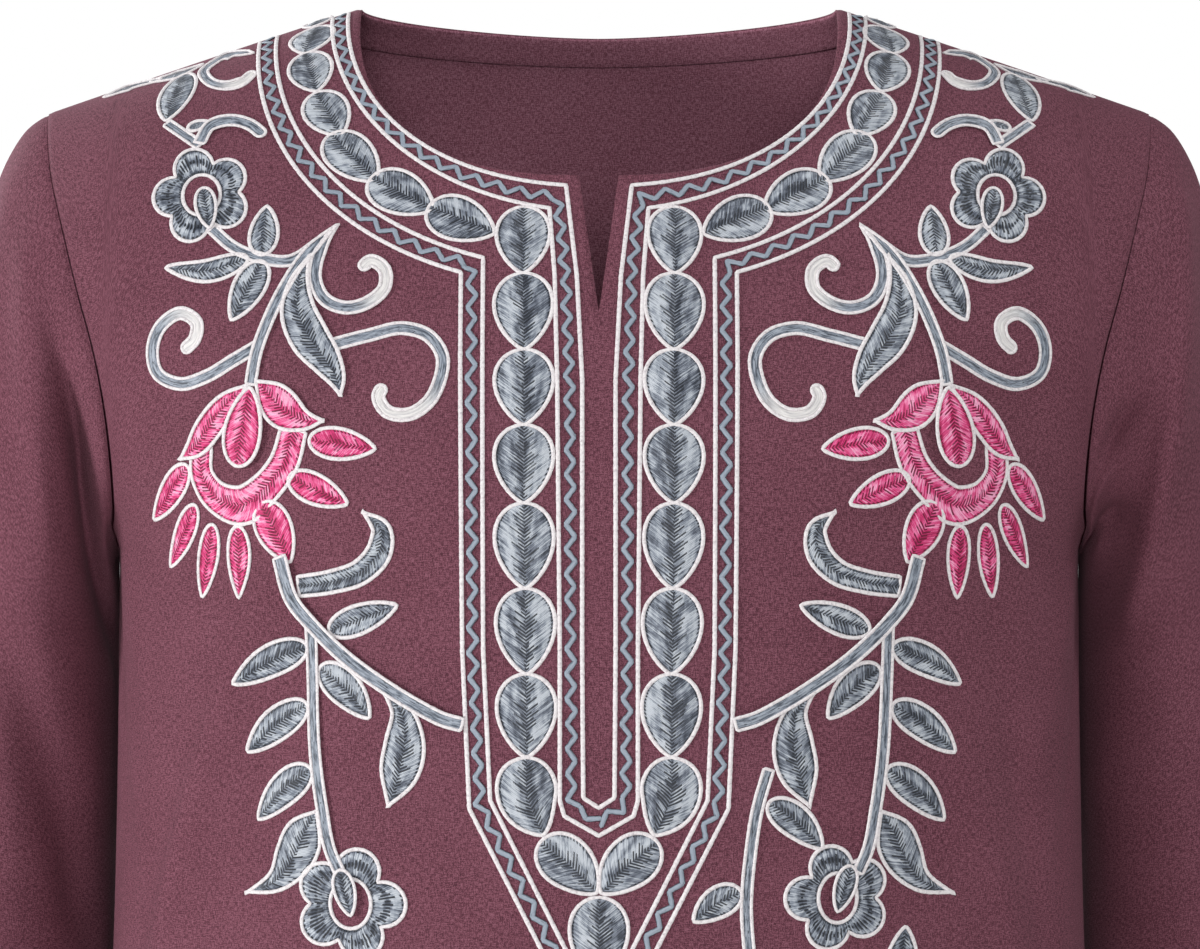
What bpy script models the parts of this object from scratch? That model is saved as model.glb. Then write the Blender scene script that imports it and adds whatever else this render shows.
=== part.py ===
"""A kurta tunic, filled out as it hangs when worn: thin walls of woven cloth round an empty hollow.

Run it with blender --background --python part.py. Metres, +Z up. The front faces -Y and the wearer's left is
+X. The origin lies midway between the two points where the shoulder seams meet the neckline, because the
shoulders carry the garment there. Five pieces are cut and sewn: the front, the back, two sleeves and the
facing inside the back neck. Each is a wall between an outer and an inner grid of points. Both grids come
from the same few functions, so pieces that share a seam share its points, and a small gap parts them.
"""

import math
from collections import namedtuple

import bmesh
import bpy
import numpy as np
from mathutils import Vector
from mathutils.bvhtree import BVHTree

COLLECTION = "kurta_tunic"

# Driving sizes of the cut.
NECK_HALF_WIDTH = 0.090
SHOULDER_HALF_WIDTH = 0.209
SHOULDER_DROP = 0.040
FRONT_NECK_DROP = 0.0675
BACK_NECK_DROP = 0.0080
SLIT_HALF_WIDTH = 0.0072
SLIT_FOOT = -0.118
UNDERARM = -0.205
UNDERARM_HALF_WIDTH = 0.1815
HEM = -0.860
SIDE_SLIT_TOP = -0.620
SIDE_SLIT_OPENING = math.radians(5)

# Cloth and seams.
WALL = 0.0016
FACING_WALL = 0.0010
FACING_WIDTH = 0.0100
SEAM_GAP = 0.0003
FACING_GAP = 0.0004

BACKWARDS = np.array([0.0, 1.0, 0.0])

# Roundness: 2 is an ellipse, and more is squarer.
SECTION_POWER = 2.4
FRONT_NECK_POWER = 2.6
BACK_NECK_POWER = 1.5

# The shoulder line seen from the front: almost straight, and rounded over the neck.
SHOULDER_SLOPE = 0.350
SHOULDER_BEND = 0.040
SHOULDER_CREST = SHOULDER_SLOPE * math.hypot(NECK_HALF_WIDTH, SHOULDER_BEND)

# How far below the shoulder line the cloth has rounded over to its full depth.
ROUNDING_AT_NECK = 0.200
ROUNDING_AT_TIP = 0.100

# The body widens above the underarm, to the full shoulder within this height.
YOKE_HALF_WIDTH = 0.226
YOKE_RISE = 0.140

# Grid sizes. The yoke runs from the shoulder seam to the underarm, and its rows are the sleeve's ring too.
YOKE_ROWS = 16
SKIRT_ROWS = 15
COLUMNS = 10
SLEEVE_RINGS = 18
FACING_COLUMNS = 2
FACING_ROWS = 12

# The share of the yoke's rows that end on the neckline, and on the neck slit.
NECK_SHARE = 0.50
SLIT_SHARE = 0.25
NECK_ROW_SPACING = 1.6

# The panel's rows follow the slope of the shoulder, and are levelled a little more by each step.
LEVELLING_STEPS = 4

# Points nearer than this are one point.
SAME_POINT = 1e-6
SAME_POINT_DIGITS = 6

# Level sections of the body. Above the underarm the width comes from YOKE_HALF_WIDTH instead.
Section = namedtuple("Section", "height half_width front_depth back_depth")
BODY_SECTIONS = [
    Section(0.030, UNDERARM_HALF_WIDTH, 0.095, 0.080),
    Section(-0.050, UNDERARM_HALF_WIDTH, 0.111, 0.095),
    Section(-0.120, UNDERARM_HALF_WIDTH, 0.125, 0.105),
    Section(-0.205, UNDERARM_HALF_WIDTH, 0.135, 0.108),
    Section(-0.280, 0.1820, 0.135, 0.104),
    Section(-0.360, 0.1840, 0.131, 0.101),
    Section(-0.460, 0.1900, 0.128, 0.104),
    Section(-0.580, 0.2020, 0.130, 0.114),
    Section(-0.720, 0.2170, 0.136, 0.124),
    Section(-0.860, 0.2320, 0.143, 0.133),
]

ArmholePoint = namedtuple("ArmholePoint", "height half_width")
ARMHOLE = [
    ArmholePoint(-0.040, 0.2090),
    ArmholePoint(-0.063, 0.2055),
    ArmholePoint(-0.087, 0.1990),
    ArmholePoint(-0.109, 0.1930),
    ArmholePoint(-0.130, 0.1870),
    ArmholePoint(-0.155, 0.1825),
    ArmholePoint(-0.180, 0.1808),
    ArmholePoint(-0.205, UNDERARM_HALF_WIDTH),
]

# Rings of a sleeve from the armhole, 0, to the cuff, 1: the outermost and innermost points, half the depth
# from front to back, and how far the ring lies forward.
SleeveRing = namedtuple("SleeveRing", "along outer_x outer_z inner_x inner_z half_depth forward")
SLEEVE = [
    SleeveRing(0.00, 0.2090, -0.0400, 0.1815, -0.2050, 0.068, 0.000),
    SleeveRing(0.03, 0.2175, -0.0465, 0.1823, -0.2062, 0.068, -0.001),
    SleeveRing(0.06, 0.2245, -0.0575, 0.1827, -0.2078, 0.068, -0.002),
    SleeveRing(0.11, 0.2325, -0.0800, 0.1829, -0.2110, 0.067, -0.004),
    SleeveRing(0.18, 0.2430, -0.1180, 0.1829, -0.2190, 0.065, -0.008),
    SleeveRing(0.27, 0.2550, -0.1660, 0.1830, -0.2380, 0.062, -0.014),
    SleeveRing(0.38, 0.2670, -0.2260, 0.1833, -0.2720, 0.060, -0.021),
    SleeveRing(0.50, 0.2765, -0.3000, 0.1845, -0.3300, 0.057, -0.025),
    SleeveRing(0.62, 0.2830, -0.3780, 0.1880, -0.3960, 0.053, -0.022),
    SleeveRing(0.74, 0.2870, -0.4560, 0.1955, -0.4660, 0.048, -0.013),
    SleeveRing(0.87, 0.2900, -0.5400, 0.2040, -0.5450, 0.044, 0.002),
    SleeveRing(1.00, 0.2920, -0.6250, 0.2120, -0.6250, 0.041, 0.020),
]
SLEEVE_HEAD_END = 0.30

# The folds of a sleeve reach their full height this far along it.
SLEEVE_FOLDS_START = 0.08

# Folds of the body that open towards the hem. The angle is measured round the body from the centre front
# towards the wearer's left, and a fold is raised or sunk by height once it is below foot.
BodyFold = namedtuple("BodyFold", "angle spread top foot height")
BODY_FOLDS = [
    BodyFold(52, 11, -0.240, -0.560, 0.0085),
    BodyFold(34, 10, -0.300, -0.700, -0.0060),
    BodyFold(12, 12, -0.420, -0.820, 0.0070),
    BodyFold(-14, 12, -0.460, -0.840, -0.0050),
    BodyFold(-30, 11, -0.380, -0.760, 0.0070),
    BodyFold(-48, 10, -0.200, -0.560, 0.0060),
    BodyFold(-66, 10, -0.300, -0.640, -0.0070),
    BodyFold(72, 9, -0.300, -0.640, -0.0060),
    BodyFold(118, 12, -0.320, -0.660, 0.0090),
    BodyFold(141, 11, -0.360, -0.760, -0.0070),
    BodyFold(163, 11, -0.300, -0.760, 0.0080),
    BodyFold(-122, 12, -0.300, -0.660, 0.0080),
    BodyFold(-146, 11, -0.380, -0.760, -0.0065),
    BodyFold(-168, 11, -0.340, -0.740, 0.0065),
]

# Folds of a sleeve, as ridges or troughs along a line from a start to an end. The angle runs from the outer
# side, 0, over the front, 90, to the inner side, 180, and on over the back. The width is a share of the
# sleeve's length, which is as long as an arc of FOLD_DEGREES round it. A fold fades out towards both ends,
# where FOLD_END is how far it is from having no height.
FOLD_DEGREES = 300.0
FOLD_END = 0.15
SleeveFold = namedtuple("SleeveFold", "angle_a along_a angle_b along_b width height")
SLEEVE_FOLDS = [
    SleeveFold(72, 0.06, 118, 0.34, 0.14, 0.0045),
    SleeveFold(108, 0.03, 150, 0.26, 0.12, -0.0045),
    SleeveFold(40, 0.16, 84, 0.52, 0.15, -0.0035),
    SleeveFold(140, 0.44, 60, 0.52, 0.11, 0.0040),
    SleeveFold(175, 0.50, 80, 0.60, 0.10, -0.0035),
    SleeveFold(140, 0.58, 60, 0.66, 0.11, 0.0040),
    SleeveFold(250, 0.10, 215, 0.36, 0.14, 0.0045),
    SleeveFold(300, 0.30, 250, 0.62, 0.16, -0.0035),
    SleeveFold(60, 0.76, 120, 0.94, 0.12, -0.0030),
]

CLOTH_COLOUR = (0.165, 0.062, 0.088, 1)
FACING_COLOUR = (0.140, 0.052, 0.074, 1)
CLOTH_ROUGHNESS = 0.85


def from_table(rows, key, column, place):
    """A column of a table, read at any place by a smooth curve through its rows."""
    rows = sorted(rows, key=lambda row: getattr(row, key))
    places = np.array([getattr(row, key) for row in rows])
    values = np.array([getattr(row, column) for row in rows])
    slopes = np.gradient(values, places)
    place = np.clip(place, places[0], places[-1])
    below = np.clip(np.searchsorted(places, place) - 1, 0, len(places) - 2)
    step = places[below + 1] - places[below]
    t = (place - places[below]) / step
    rise = values[below + 1] - values[below]
    bend_in = slopes[below] * step - rise
    bend_out = rise - slopes[below + 1] * step
    return values[below] + t * rise + t * (1 - t) * ((1 - t) * bend_in + t * bend_out)


def eased(t):
    """0 to 1 with a soft start and end."""
    t = np.clip(t, 0, 1)
    return t * t * (3 - 2 * t)


def mixed(a, b, t):
    return a + (b - a) * t


def shoulder_line(x):
    """The height of the shoulder seam, and of the same line carried on over the neck hole."""
    return SHOULDER_CREST - SHOULDER_SLOPE * np.hypot(x, SHOULDER_BEND)


def half_width(z):
    above = np.clip((z - UNDERARM) / YOKE_RISE, 0, 1)
    widened = np.sin(above * math.pi / 2) ** (SECTION_POWER / 2)
    yoke = UNDERARM_HALF_WIDTH + (YOKE_HALF_WIDTH - UNDERARM_HALF_WIDTH) * widened
    return np.where(z > UNDERARM, yoke, from_table(BODY_SECTIONS, "height", "half_width", z))


def depth(front, z):
    return from_table(BODY_SECTIONS, "height", "front_depth" if front else "back_depth", z)


def shoulder_rounding(x, z):
    """0 on the shoulder seam and 1 where the cloth has come down to its full depth."""
    towards_tip = eased((np.abs(x) - NECK_HALF_WIDTH / 2) / (SHOULDER_HALF_WIDTH - NECK_HALF_WIDTH / 2))
    reach = mixed(ROUNDING_AT_NECK, ROUNDING_AT_TIP, towards_tip)
    up = np.clip(1 - (shoulder_line(x) - z) / reach, 0, 1)
    return np.sqrt(1 - up * up)


def angle_at(x, z):
    """The section's angle at half-width x: 0 at the centre line and 90 degrees at the side."""
    return np.arcsin(np.clip(x / half_width(z), 0, 1) ** (SECTION_POWER / 2))


def body_fold(bearing, z):
    """How far the folds lift the cloth at a bearing round the body, in degrees."""
    lift = np.zeros(np.broadcast(bearing, z).shape)
    for fold in BODY_FOLDS:
        turn = (bearing - fold.angle + 180) % 360 - 180
        drop = eased((fold.top - z) / (fold.top - fold.foot))
        lift = lift + fold.height * drop * np.exp(-((turn / fold.spread) ** 2))
    return lift


def on_body(front, side, x, z, angle):
    """The cloth's outer surface at half-width x, height z and section angle."""
    facing = -1 if front else 1
    half, deep = half_width(z), depth(front, z)
    y = facing * deep * np.cos(angle) ** (2 / SECTION_POWER) * shoulder_rounding(x, z)
    bearing = side * np.degrees(angle if front else math.pi - angle)
    lift = body_fold(bearing, z)
    out_x, out_y = np.sin(angle) / half, facing * np.cos(angle) / deep
    size = np.hypot(out_x, out_y)
    x, y, z = np.broadcast_arrays(x + lift * out_x / size, y + lift * out_y / size, z)
    return np.stack([side * x, y, z], axis=-1)


def neckline(front, t):
    """The neck edge from the shoulder seam, 0, to the centre, 1, as half-width and height."""
    drop = FRONT_NECK_DROP if front else BACK_NECK_DROP
    power = FRONT_NECK_POWER if front else BACK_NECK_POWER
    half_gap = SLIT_HALF_WIDTH if front else 0.0
    end = math.acos((half_gap / NECK_HALF_WIDTH) ** (power / 2))
    turn = end * t**NECK_ROW_SPACING
    x = NECK_HALF_WIDTH * np.cos(turn) ** (2 / power)
    return x, -drop * np.sin(turn) ** (2 / power)


def inner_edge(front, down):
    """The panel's edge from the shoulder seam along the neck and down the centre line to the hem. In down,
    1 is level with the underarm and 2 is the hem."""
    neck_x, neck_z = neckline(front, np.clip(down / NECK_SHARE, 0, 1))
    corner_x, corner_z = neckline(front, 1.0)
    # Only the front has a slit below its neckline.
    slit_end = NECK_SHARE + SLIT_SHARE if front else NECK_SHARE
    foot_z = SLIT_FOOT if front else corner_z
    slit = np.clip((down - NECK_SHARE) / SLIT_SHARE, 0, 1)
    slit_x, slit_z = mixed(corner_x, 0.0, slit), mixed(corner_z, foot_z, slit)
    centre_z = mixed(foot_z, UNDERARM, np.clip((down - slit_end) / (1 - slit_end), 0, 1))
    centre_z = np.where(down > 1, mixed(UNDERARM, HEM, down - 1), centre_z)
    on_neck, on_slit = down <= NECK_SHARE, down < slit_end
    x = np.where(on_neck, neck_x, np.where(on_slit, slit_x, 0.0))
    z = np.where(on_neck, neck_z, np.where(on_slit, slit_z, centre_z))
    return x, z


def outer_edge(down):
    """The armhole from the shoulder tip to the underarm, and the side seam from there to the hem, as
    half-width, height and section angle."""
    middle, half = (UNDERARM - SHOULDER_DROP) / 2, (-SHOULDER_DROP - UNDERARM) / 2
    arm_z = middle + half * np.cos(math.pi * np.clip(down, 0, 1))
    arm_x = from_table(ARMHOLE, "height", "half_width", arm_z)
    # The armhole starts on the shoulder line itself.
    arm_z = np.minimum(arm_z, shoulder_line(arm_x))
    z = np.where(down > 1, mixed(UNDERARM, HEM, down - 1), arm_z)
    opening = SIDE_SLIT_OPENING * np.clip((SIDE_SLIT_TOP - z) / (SIDE_SLIT_TOP - HEM), 0, 1)
    angle = np.where(down > 1, math.pi / 2 - opening, angle_at(arm_x, arm_z))
    x = np.where(down > 1, half_width(z) * np.sin(angle) ** (2 / SECTION_POWER), arm_x)
    return x, z, angle


def panel(front, side, down, across):
    """A grid of points over half of the front or back: a row for each place in down, from the shoulder to
    the hem, and a column for each place in across, from the centre to the side."""
    down, across = np.asarray(down, float)[:, None], np.asarray(across, float)[None, :]
    in_x, in_z = inner_edge(front, down)
    out_x, out_z, out_angle = outer_edge(down)
    angle = mixed(angle_at(in_x, in_z), out_angle, across)
    straight = mixed(in_z, out_z, across)
    below = mixed(shoulder_line(in_x) - in_z, shoulder_line(out_x) - out_z, across)
    level = eased(down)
    z = straight
    for _ in range(LEVELLING_STEPS):
        x = half_width(z) * np.sin(angle) ** (2 / SECTION_POWER)
        z = mixed(shoulder_line(x) - below, straight, level)
    return on_body(front, side, x, z, angle)


def armhole_ring(side, places):
    """The armhole, once round: down its front edge and up its back edge."""
    front = panel(True, side, places, [1.0])[:, 0]
    back = panel(False, side, places, [1.0])[:, 0]
    return np.concatenate([front, back[-2:0:-1]])


def sleeve_fold(angle, along):
    """How far the folds lift a sleeve at an angle round it, in degrees, and a place along it."""
    lift = np.zeros(np.broadcast(angle, along).shape)
    for fold in SLEEVE_FOLDS:
        start = np.array([fold.angle_a / FOLD_DEGREES, fold.along_a])
        run = np.array([fold.angle_b / FOLD_DEGREES, fold.along_b]) - start
        to_x, to_y = angle / FOLD_DEGREES - start[0], along - start[1]
        t = np.clip((to_x * run[0] + to_y * run[1]) / (run @ run), 0, 1)
        away = np.hypot(to_x - t * run[0], to_y - t * run[1])
        swell = np.sin(math.pi * mixed(FOLD_END, 1 - FOLD_END, t))
        lift = lift + fold.height * swell * np.exp(-((away / (fold.width / 2)) ** 2))
    return lift


def sleeve(side, ring_places, along):
    """Rings of points from the armhole to the cuff."""
    ring = armhole_ring(side, ring_places)
    down = np.asarray(ring_places) * math.pi
    turn = np.concatenate([down, 2 * math.pi - down[-2:0:-1]])[None, :]
    along = np.asarray(along, float)[:, None]
    column = {name: from_table(SLEEVE, "along", name, along) for name in SleeveRing._fields[1:]}
    mid_x, mid_z = (column["outer_x"] + column["inner_x"]) / 2, (column["outer_z"] + column["inner_z"]) / 2
    arm_x, arm_z = (column["outer_x"] - column["inner_x"]) / 2, (column["outer_z"] - column["inner_z"]) / 2
    oval = np.stack([
        side * (mid_x + arm_x * np.cos(turn)),
        -column["forward"] - column["half_depth"] * np.sin(turn),
        mid_z + arm_z * np.cos(turn),
    ], axis=-1)
    # The armhole isn't quite an oval, and its shape fades into the sleeve's over the sleeve head.
    fade = 1 - eased(along / SLEEVE_HEAD_END)[..., None]
    points = oval + fade * (ring - oval[0])
    outward = points - points.mean(axis=1, keepdims=True)
    outward = outward / np.linalg.norm(outward, axis=-1, keepdims=True)
    lift = sleeve_fold(np.degrees(turn), along) * eased(along / SLEEVE_FOLDS_START)
    return points + outward * lift[..., None]


def grid_normals(points, outward, closed=False):
    """Unit normals of a grid of points, turned to face away from a point or line inside."""
    if closed:
        across = np.roll(points, -1, axis=1) - np.roll(points, 1, axis=1)
    else:
        across = np.gradient(points, axis=1)
    normals = np.cross(np.gradient(points, axis=0), across)
    normals = normals / np.linalg.norm(normals, axis=-1, keepdims=True)
    return normals if np.sum(normals * outward) > 0 else -normals


def point_keys(points):
    """A key for each point of a grid, the same wherever two grids have the same point."""
    return [tuple(key) for key in np.round(points, SAME_POINT_DIGITS).reshape(-1, 3)]


def share_seam_normals(grids):
    """Where grids share a point, they take one normal, so that their walls meet in one plane."""
    totals = {}
    for points, normals in grids:
        for key, normal in zip(point_keys(points), normals.reshape(-1, 3)):
            totals[key] = totals.get(key, 0) + normal
    for points, normals in grids:
        flat = normals.reshape(-1, 3)
        for i, key in enumerate(point_keys(points)):
            flat[i] = totals[key] / np.linalg.norm(totals[key])


def share_armhole_normals(front, back, sleeve):
    """Round an armhole the body and the sleeve take the normal halfway between theirs."""
    body = np.concatenate([front[:YOKE_ROWS + 1, -1], back[YOKE_ROWS - 1:0:-1, -1]])
    halfway = body + sleeve[0]
    halfway = halfway / np.linalg.norm(halfway, axis=-1, keepdims=True)
    sleeve[0] = halfway
    front[:YOKE_ROWS + 1, -1] = halfway[:YOKE_ROWS + 1]
    back[YOKE_ROWS - 1:0:-1, -1] = halfway[YOKE_ROWS + 1:]
    back[0, -1], back[YOKE_ROWS, -1] = halfway[0], halfway[YOKE_ROWS]


def add_wall(mesh, outer, inner, closed=False, open_rows=0):
    """Adds a wall between two grids to a bmesh. A closed grid runs round a tube. On an open one, the first
    column has a rim down to open_rows and lies open below, where the other half joins it."""
    rows, columns = outer.shape[:2]
    skin = [[mesh.verts.new(point) for point in row] for row in outer]
    lining = [[mesh.verts.new(point) for point in row] for row in inner]
    last = columns if closed else columns - 1
    for i in range(rows - 1):
        for j in range(last):
            k = (j + 1) % columns
            mesh.faces.new((skin[i][j], skin[i + 1][j], skin[i + 1][k], skin[i][k]))
            mesh.faces.new((lining[i][j], lining[i][k], lining[i + 1][k], lining[i + 1][j]))
    for j in range(last):
        k = (j + 1) % columns
        mesh.faces.new((skin[0][j], skin[0][k], lining[0][k], lining[0][j]))
        mesh.faces.new((skin[-1][k], skin[-1][j], lining[-1][j], lining[-1][k]))
    if closed:
        return
    for i in range(rows - 1):
        mesh.faces.new((skin[i + 1][-1], skin[i][-1], lining[i][-1], lining[i + 1][-1]))
        if i < open_rows:
            mesh.faces.new((skin[i][0], skin[i + 1][0], lining[i + 1][0], lining[i][0]))


def cloth_material(name, colour):
    material = bpy.data.materials.new(name)
    material.use_nodes = True
    shader = material.node_tree.nodes["Principled BSDF"]
    shader.inputs["Base Color"].default_value = colour
    shader.inputs["Roughness"].default_value = CLOTH_ROUGHNESS
    shader.inputs["Metallic"].default_value = 0.0
    material.diffuse_color = colour
    return material


def finish_piece(collection, name, mesh, colour):
    """Joins the halves of a piece and makes it an object with its own material."""
    bmesh.ops.remove_doubles(mesh, verts=mesh.verts, dist=SAME_POINT)
    bmesh.ops.recalc_face_normals(mesh, faces=mesh.faces)
    data = bpy.data.meshes.new(name)
    mesh.to_mesh(data)
    mesh.free()
    data.shade_smooth()
    data.materials.append(cloth_material(name + "_cloth", colour))
    piece = bpy.data.objects.new(name, data)
    collection.objects.link(piece)
    return piece


def body_grids(front):
    """Both halves of the front or back, as (side, points, normals)."""
    yoke = np.linspace(0, 1, YOKE_ROWS + 1)
    down = np.concatenate([yoke, np.linspace(1, 2, SKIRT_ROWS + 1)[1:]])
    across = np.linspace(0, 1, COLUMNS + 1)
    grids = []
    for side in (-1, 1):
        points = panel(front, side, down, across)
        normals = grid_normals(points, -BACKWARDS if front else BACKWARDS)
        grids.append((side, points, normals))
    return grids


def sleeve_grid(side):
    places = np.linspace(0, 1, YOKE_ROWS + 1)
    points = sleeve(side, places, np.linspace(0, 1, SLEEVE_RINGS + 1))
    return points, grid_normals(points, points - points.mean(axis=1, keepdims=True), closed=True)


def build_panel(collection, name, front, grids):
    """The front or the back, moved half a seam gap clear of the other along Y."""
    apart = np.array([0, SEAM_GAP / 2 * (-1 if front else 1), 0])
    rim_rows = YOKE_ROWS * (NECK_SHARE + SLIT_SHARE if front else NECK_SHARE)
    mesh = bmesh.new()
    for _, points, normals in grids:
        add_wall(mesh, points + apart, points - normals * WALL + apart, open_rows=round(rim_rows))
    return finish_piece(collection, name, mesh, CLOTH_COLOUR)


def build_sleeve(collection, name, side, points, normals):
    """A sleeve, moved a seam gap away from its armhole, square to the seam all the way round."""
    around = np.roll(points[0], -1, axis=0) - np.roll(points[0], 1, axis=0)
    away = np.cross(around, normals[0])
    away = away / np.linalg.norm(away, axis=-1, keepdims=True)
    away = away * np.sign(away[:, :1]) * side
    outward = np.array([side, 0, 0])
    along = eased(np.linspace(0, 1, len(points)) / SLEEVE_HEAD_END)[:, None, None]
    apart = SEAM_GAP * mixed(away, outward, along)
    mesh = bmesh.new()
    add_wall(mesh, points + apart, points - normals * WALL + apart, closed=True)
    return finish_piece(collection, name, mesh, CLOTH_COLOUR)


def facing_points(side):
    """The strip of the back panel along its neck edge, FACING_WIDTH wide."""
    t = np.linspace(0, 1, FACING_ROWS + 1)
    x, z = neckline(False, t)
    below = shoulder_line(x) - z
    along_x, along_down = np.gradient(x), np.gradient(below)
    size = np.hypot(along_x, along_down)
    across = np.linspace(0, 1, FACING_COLUMNS + 1)[None, :] * FACING_WIDTH
    wide_x = x[:, None] + across * (along_down / size)[:, None]
    wide_below = below[:, None] - across * (along_x / size)[:, None]
    # The strip ends exactly on the shoulder seam and on the centre line.
    wide_below[0] = 0.0
    wide_x[-1] = 0.0
    wide_z = shoulder_line(wide_x) - wide_below
    return on_body(False, side, wide_x, wide_z, angle_at(wide_x, wide_z))


def lining_tree(grids):
    """The inner face of a panel, as a tree to lay other points on."""
    corners, faces = [], []
    for _, points, normals in grids:
        first, columns = len(corners), points.shape[1]
        corners.extend(Vector(point) for point in (points - normals * WALL).reshape(-1, 3))
        for i in range(points.shape[0] - 1):
            for j in range(columns - 1):
                a = first + i * columns + j
                faces.append((a, a + 1, a + columns + 1, a + columns))
    return BVHTree.FromPolygons(corners, faces)


def laid_on(tree, points):
    """Each point moved to the nearest place on a panel's inner face."""
    flat = [tree.find_nearest(Vector(point))[0] for point in points.reshape(-1, 3)]
    return np.array(flat).reshape(points.shape)


def build_facing(collection, name, back_grids):
    """The strip inside the back neck, laid on the back panel's own inner face."""
    tree = lining_tree(back_grids)
    grids = []
    for side in (-1, 1):
        points = facing_points(side)
        grids.append((points, grid_normals(points, BACKWARDS)))
    share_seam_normals(grids)
    apart = np.array([0, SEAM_GAP / 2, 0])
    mesh = bmesh.new()
    for points, normals in grids:
        outer = laid_on(tree, points - normals * WALL) - normals * FACING_GAP + apart
        add_facing_half(mesh, outer, outer - normals * FACING_WALL)
    return finish_piece(collection, name, mesh, FACING_COLOUR)


def add_facing_half(mesh, outer, inner):
    """Half of the facing: a wall with rims on every edge but the centre, where the halves join."""
    turned, turned_in = outer.transpose(1, 0, 2)[:, ::-1], inner.transpose(1, 0, 2)[:, ::-1]
    add_wall(mesh, turned, turned_in, open_rows=0)


def build():
    for old in list(bpy.data.objects):
        bpy.data.objects.remove(old, do_unlink=True)
    collection = bpy.data.collections.new(COLLECTION)
    bpy.context.scene.collection.children.link(collection)

    front, back = body_grids(True), body_grids(False)
    sleeves = {side: sleeve_grid(side) for side in (-1, 1)}
    share_seam_normals([(points, normals) for _, points, normals in front + back])
    for (side, _, front_normals), (_, _, back_normals) in zip(front, back):
        share_armhole_normals(front_normals, back_normals, sleeves[side][1])

    build_panel(collection, "front_panel", True, front)
    build_panel(collection, "back_panel", False, back)
    build_sleeve(collection, "left_sleeve", 1, *sleeves[1])
    build_sleeve(collection, "right_sleeve", -1, *sleeves[-1])
    build_facing(collection, "back_neck_facing", back)


build()
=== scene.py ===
# %% [markdown]
# # An embroidered kurta tunic
# A kurta is cut from flat cloth: a front, a back, two sleeves and a narrow facing inside the back neck.
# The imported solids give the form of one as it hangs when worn. This lesson dresses them. Each solid is
# replaced by a thinner shell of cloth on the same form, with turned edges at its seams. The embroidery is
# then laid on the front as raised thread, because thread a millimetre thick catches light along its
# edges, which a painted colour can't do.

import math
from collections import namedtuple

import bmesh
import bpy
import numpy as np
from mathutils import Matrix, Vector


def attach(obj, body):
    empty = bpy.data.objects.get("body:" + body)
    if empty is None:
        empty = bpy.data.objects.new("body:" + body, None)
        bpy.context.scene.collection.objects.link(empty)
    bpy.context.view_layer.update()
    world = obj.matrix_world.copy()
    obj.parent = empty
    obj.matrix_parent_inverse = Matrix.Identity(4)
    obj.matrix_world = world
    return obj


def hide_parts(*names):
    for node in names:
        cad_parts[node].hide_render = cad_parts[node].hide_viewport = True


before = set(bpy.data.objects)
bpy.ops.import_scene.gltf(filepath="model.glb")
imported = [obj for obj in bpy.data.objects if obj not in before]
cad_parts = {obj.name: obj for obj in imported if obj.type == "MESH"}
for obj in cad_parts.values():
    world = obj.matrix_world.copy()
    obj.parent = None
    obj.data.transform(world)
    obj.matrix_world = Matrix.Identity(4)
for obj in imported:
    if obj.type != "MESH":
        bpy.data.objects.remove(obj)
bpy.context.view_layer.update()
print("solids:", sorted(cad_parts))

# %% [markdown]
# ## The camera
# The camera comes first, because it decides how fine the rest has to be. The tunic is seen straight from
# the front, from a little above the chest, with a long lens, so that its sides stay nearly parallel.

# %% Place the camera
CAMERA_PLACE = (0.0004, -2.4, -0.177)
LENS = 189.47
SENSOR = 36.0
camera_data = bpy.data.cameras.new("front_camera")
camera_data.lens = LENS
camera_data.sensor_width = SENSOR
camera = bpy.data.objects.new("front_camera", camera_data)
camera.location = CAMERA_PLACE
camera.rotation_euler = (math.radians(90), 0, 0)
bpy.context.scene.collection.objects.link(camera)
bpy.context.scene.camera = camera
print("width of the view at the chest, mm:", round(1000 * -CAMERA_PLACE[1] * SENSOR / LENS))

# %% [markdown]
# ## The cut of the body
# The body hangs from the shoulders and flares to the hem. It could be sculpted, or draped by a
# simulation, but here it repeats the sizes that the solids were made from, so the cloth lies exactly on
# them, and the embroidery can ask the same functions where the cloth is.

# %% Sizes of the cut, in metres
NECK_HALF_WIDTH = 0.090
SHOULDER_HALF_WIDTH = 0.209
SHOULDER_DROP = 0.040
FRONT_NECK_DROP = 0.0675
BACK_NECK_DROP = 0.0080
SLIT_HALF_WIDTH = 0.0072
SLIT_FOOT = -0.118
UNDERARM = -0.205
UNDERARM_HALF_WIDTH = 0.1815
HEM = -0.860
SIDE_SLIT_TOP = -0.620
SIDE_SLIT_OPENING = math.radians(5)
FACING_WIDTH = 0.0100
SEAM_GAP = 0.0003
BACKWARDS = np.array([0.0, 1.0, 0.0])
print("length from the neck to the hem, mm:", round(-1000 * HEM))

# %% Roundness of the sections and the slope of the shoulders
# A power of 2 gives an ellipse, and more is squarer.
SECTION_POWER = 2.4
FRONT_NECK_POWER = 2.6
BACK_NECK_POWER = 1.5
SHOULDER_SLOPE = 0.350
SHOULDER_BEND = 0.040
SHOULDER_CREST = SHOULDER_SLOPE * math.hypot(NECK_HALF_WIDTH, SHOULDER_BEND)
ROUNDING_AT_NECK = 0.200
ROUNDING_AT_TIP = 0.100
YOKE_HALF_WIDTH = 0.226
YOKE_RISE = 0.140
NECK_SHARE = 0.50
SLIT_SHARE = 0.25
SLIT_END = NECK_SHARE + SLIT_SHARE
NECK_ROW_SPACING = 1.6
LEVELLING_STEPS = 4
SLEEVE_HEAD_END = 0.30
SLEEVE_FOLDS_START = 0.08
print("height of the shoulder line's crest, mm:", round(1000 * SHOULDER_CREST, 1))

# %% Level sections of the body and the armhole
def table(columns, *rows, defaults=()):
    """Rows of numbers with named columns."""
    row_kind = namedtuple("Row", columns, defaults=defaults)
    return [row_kind(*row) for row in rows]


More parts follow.
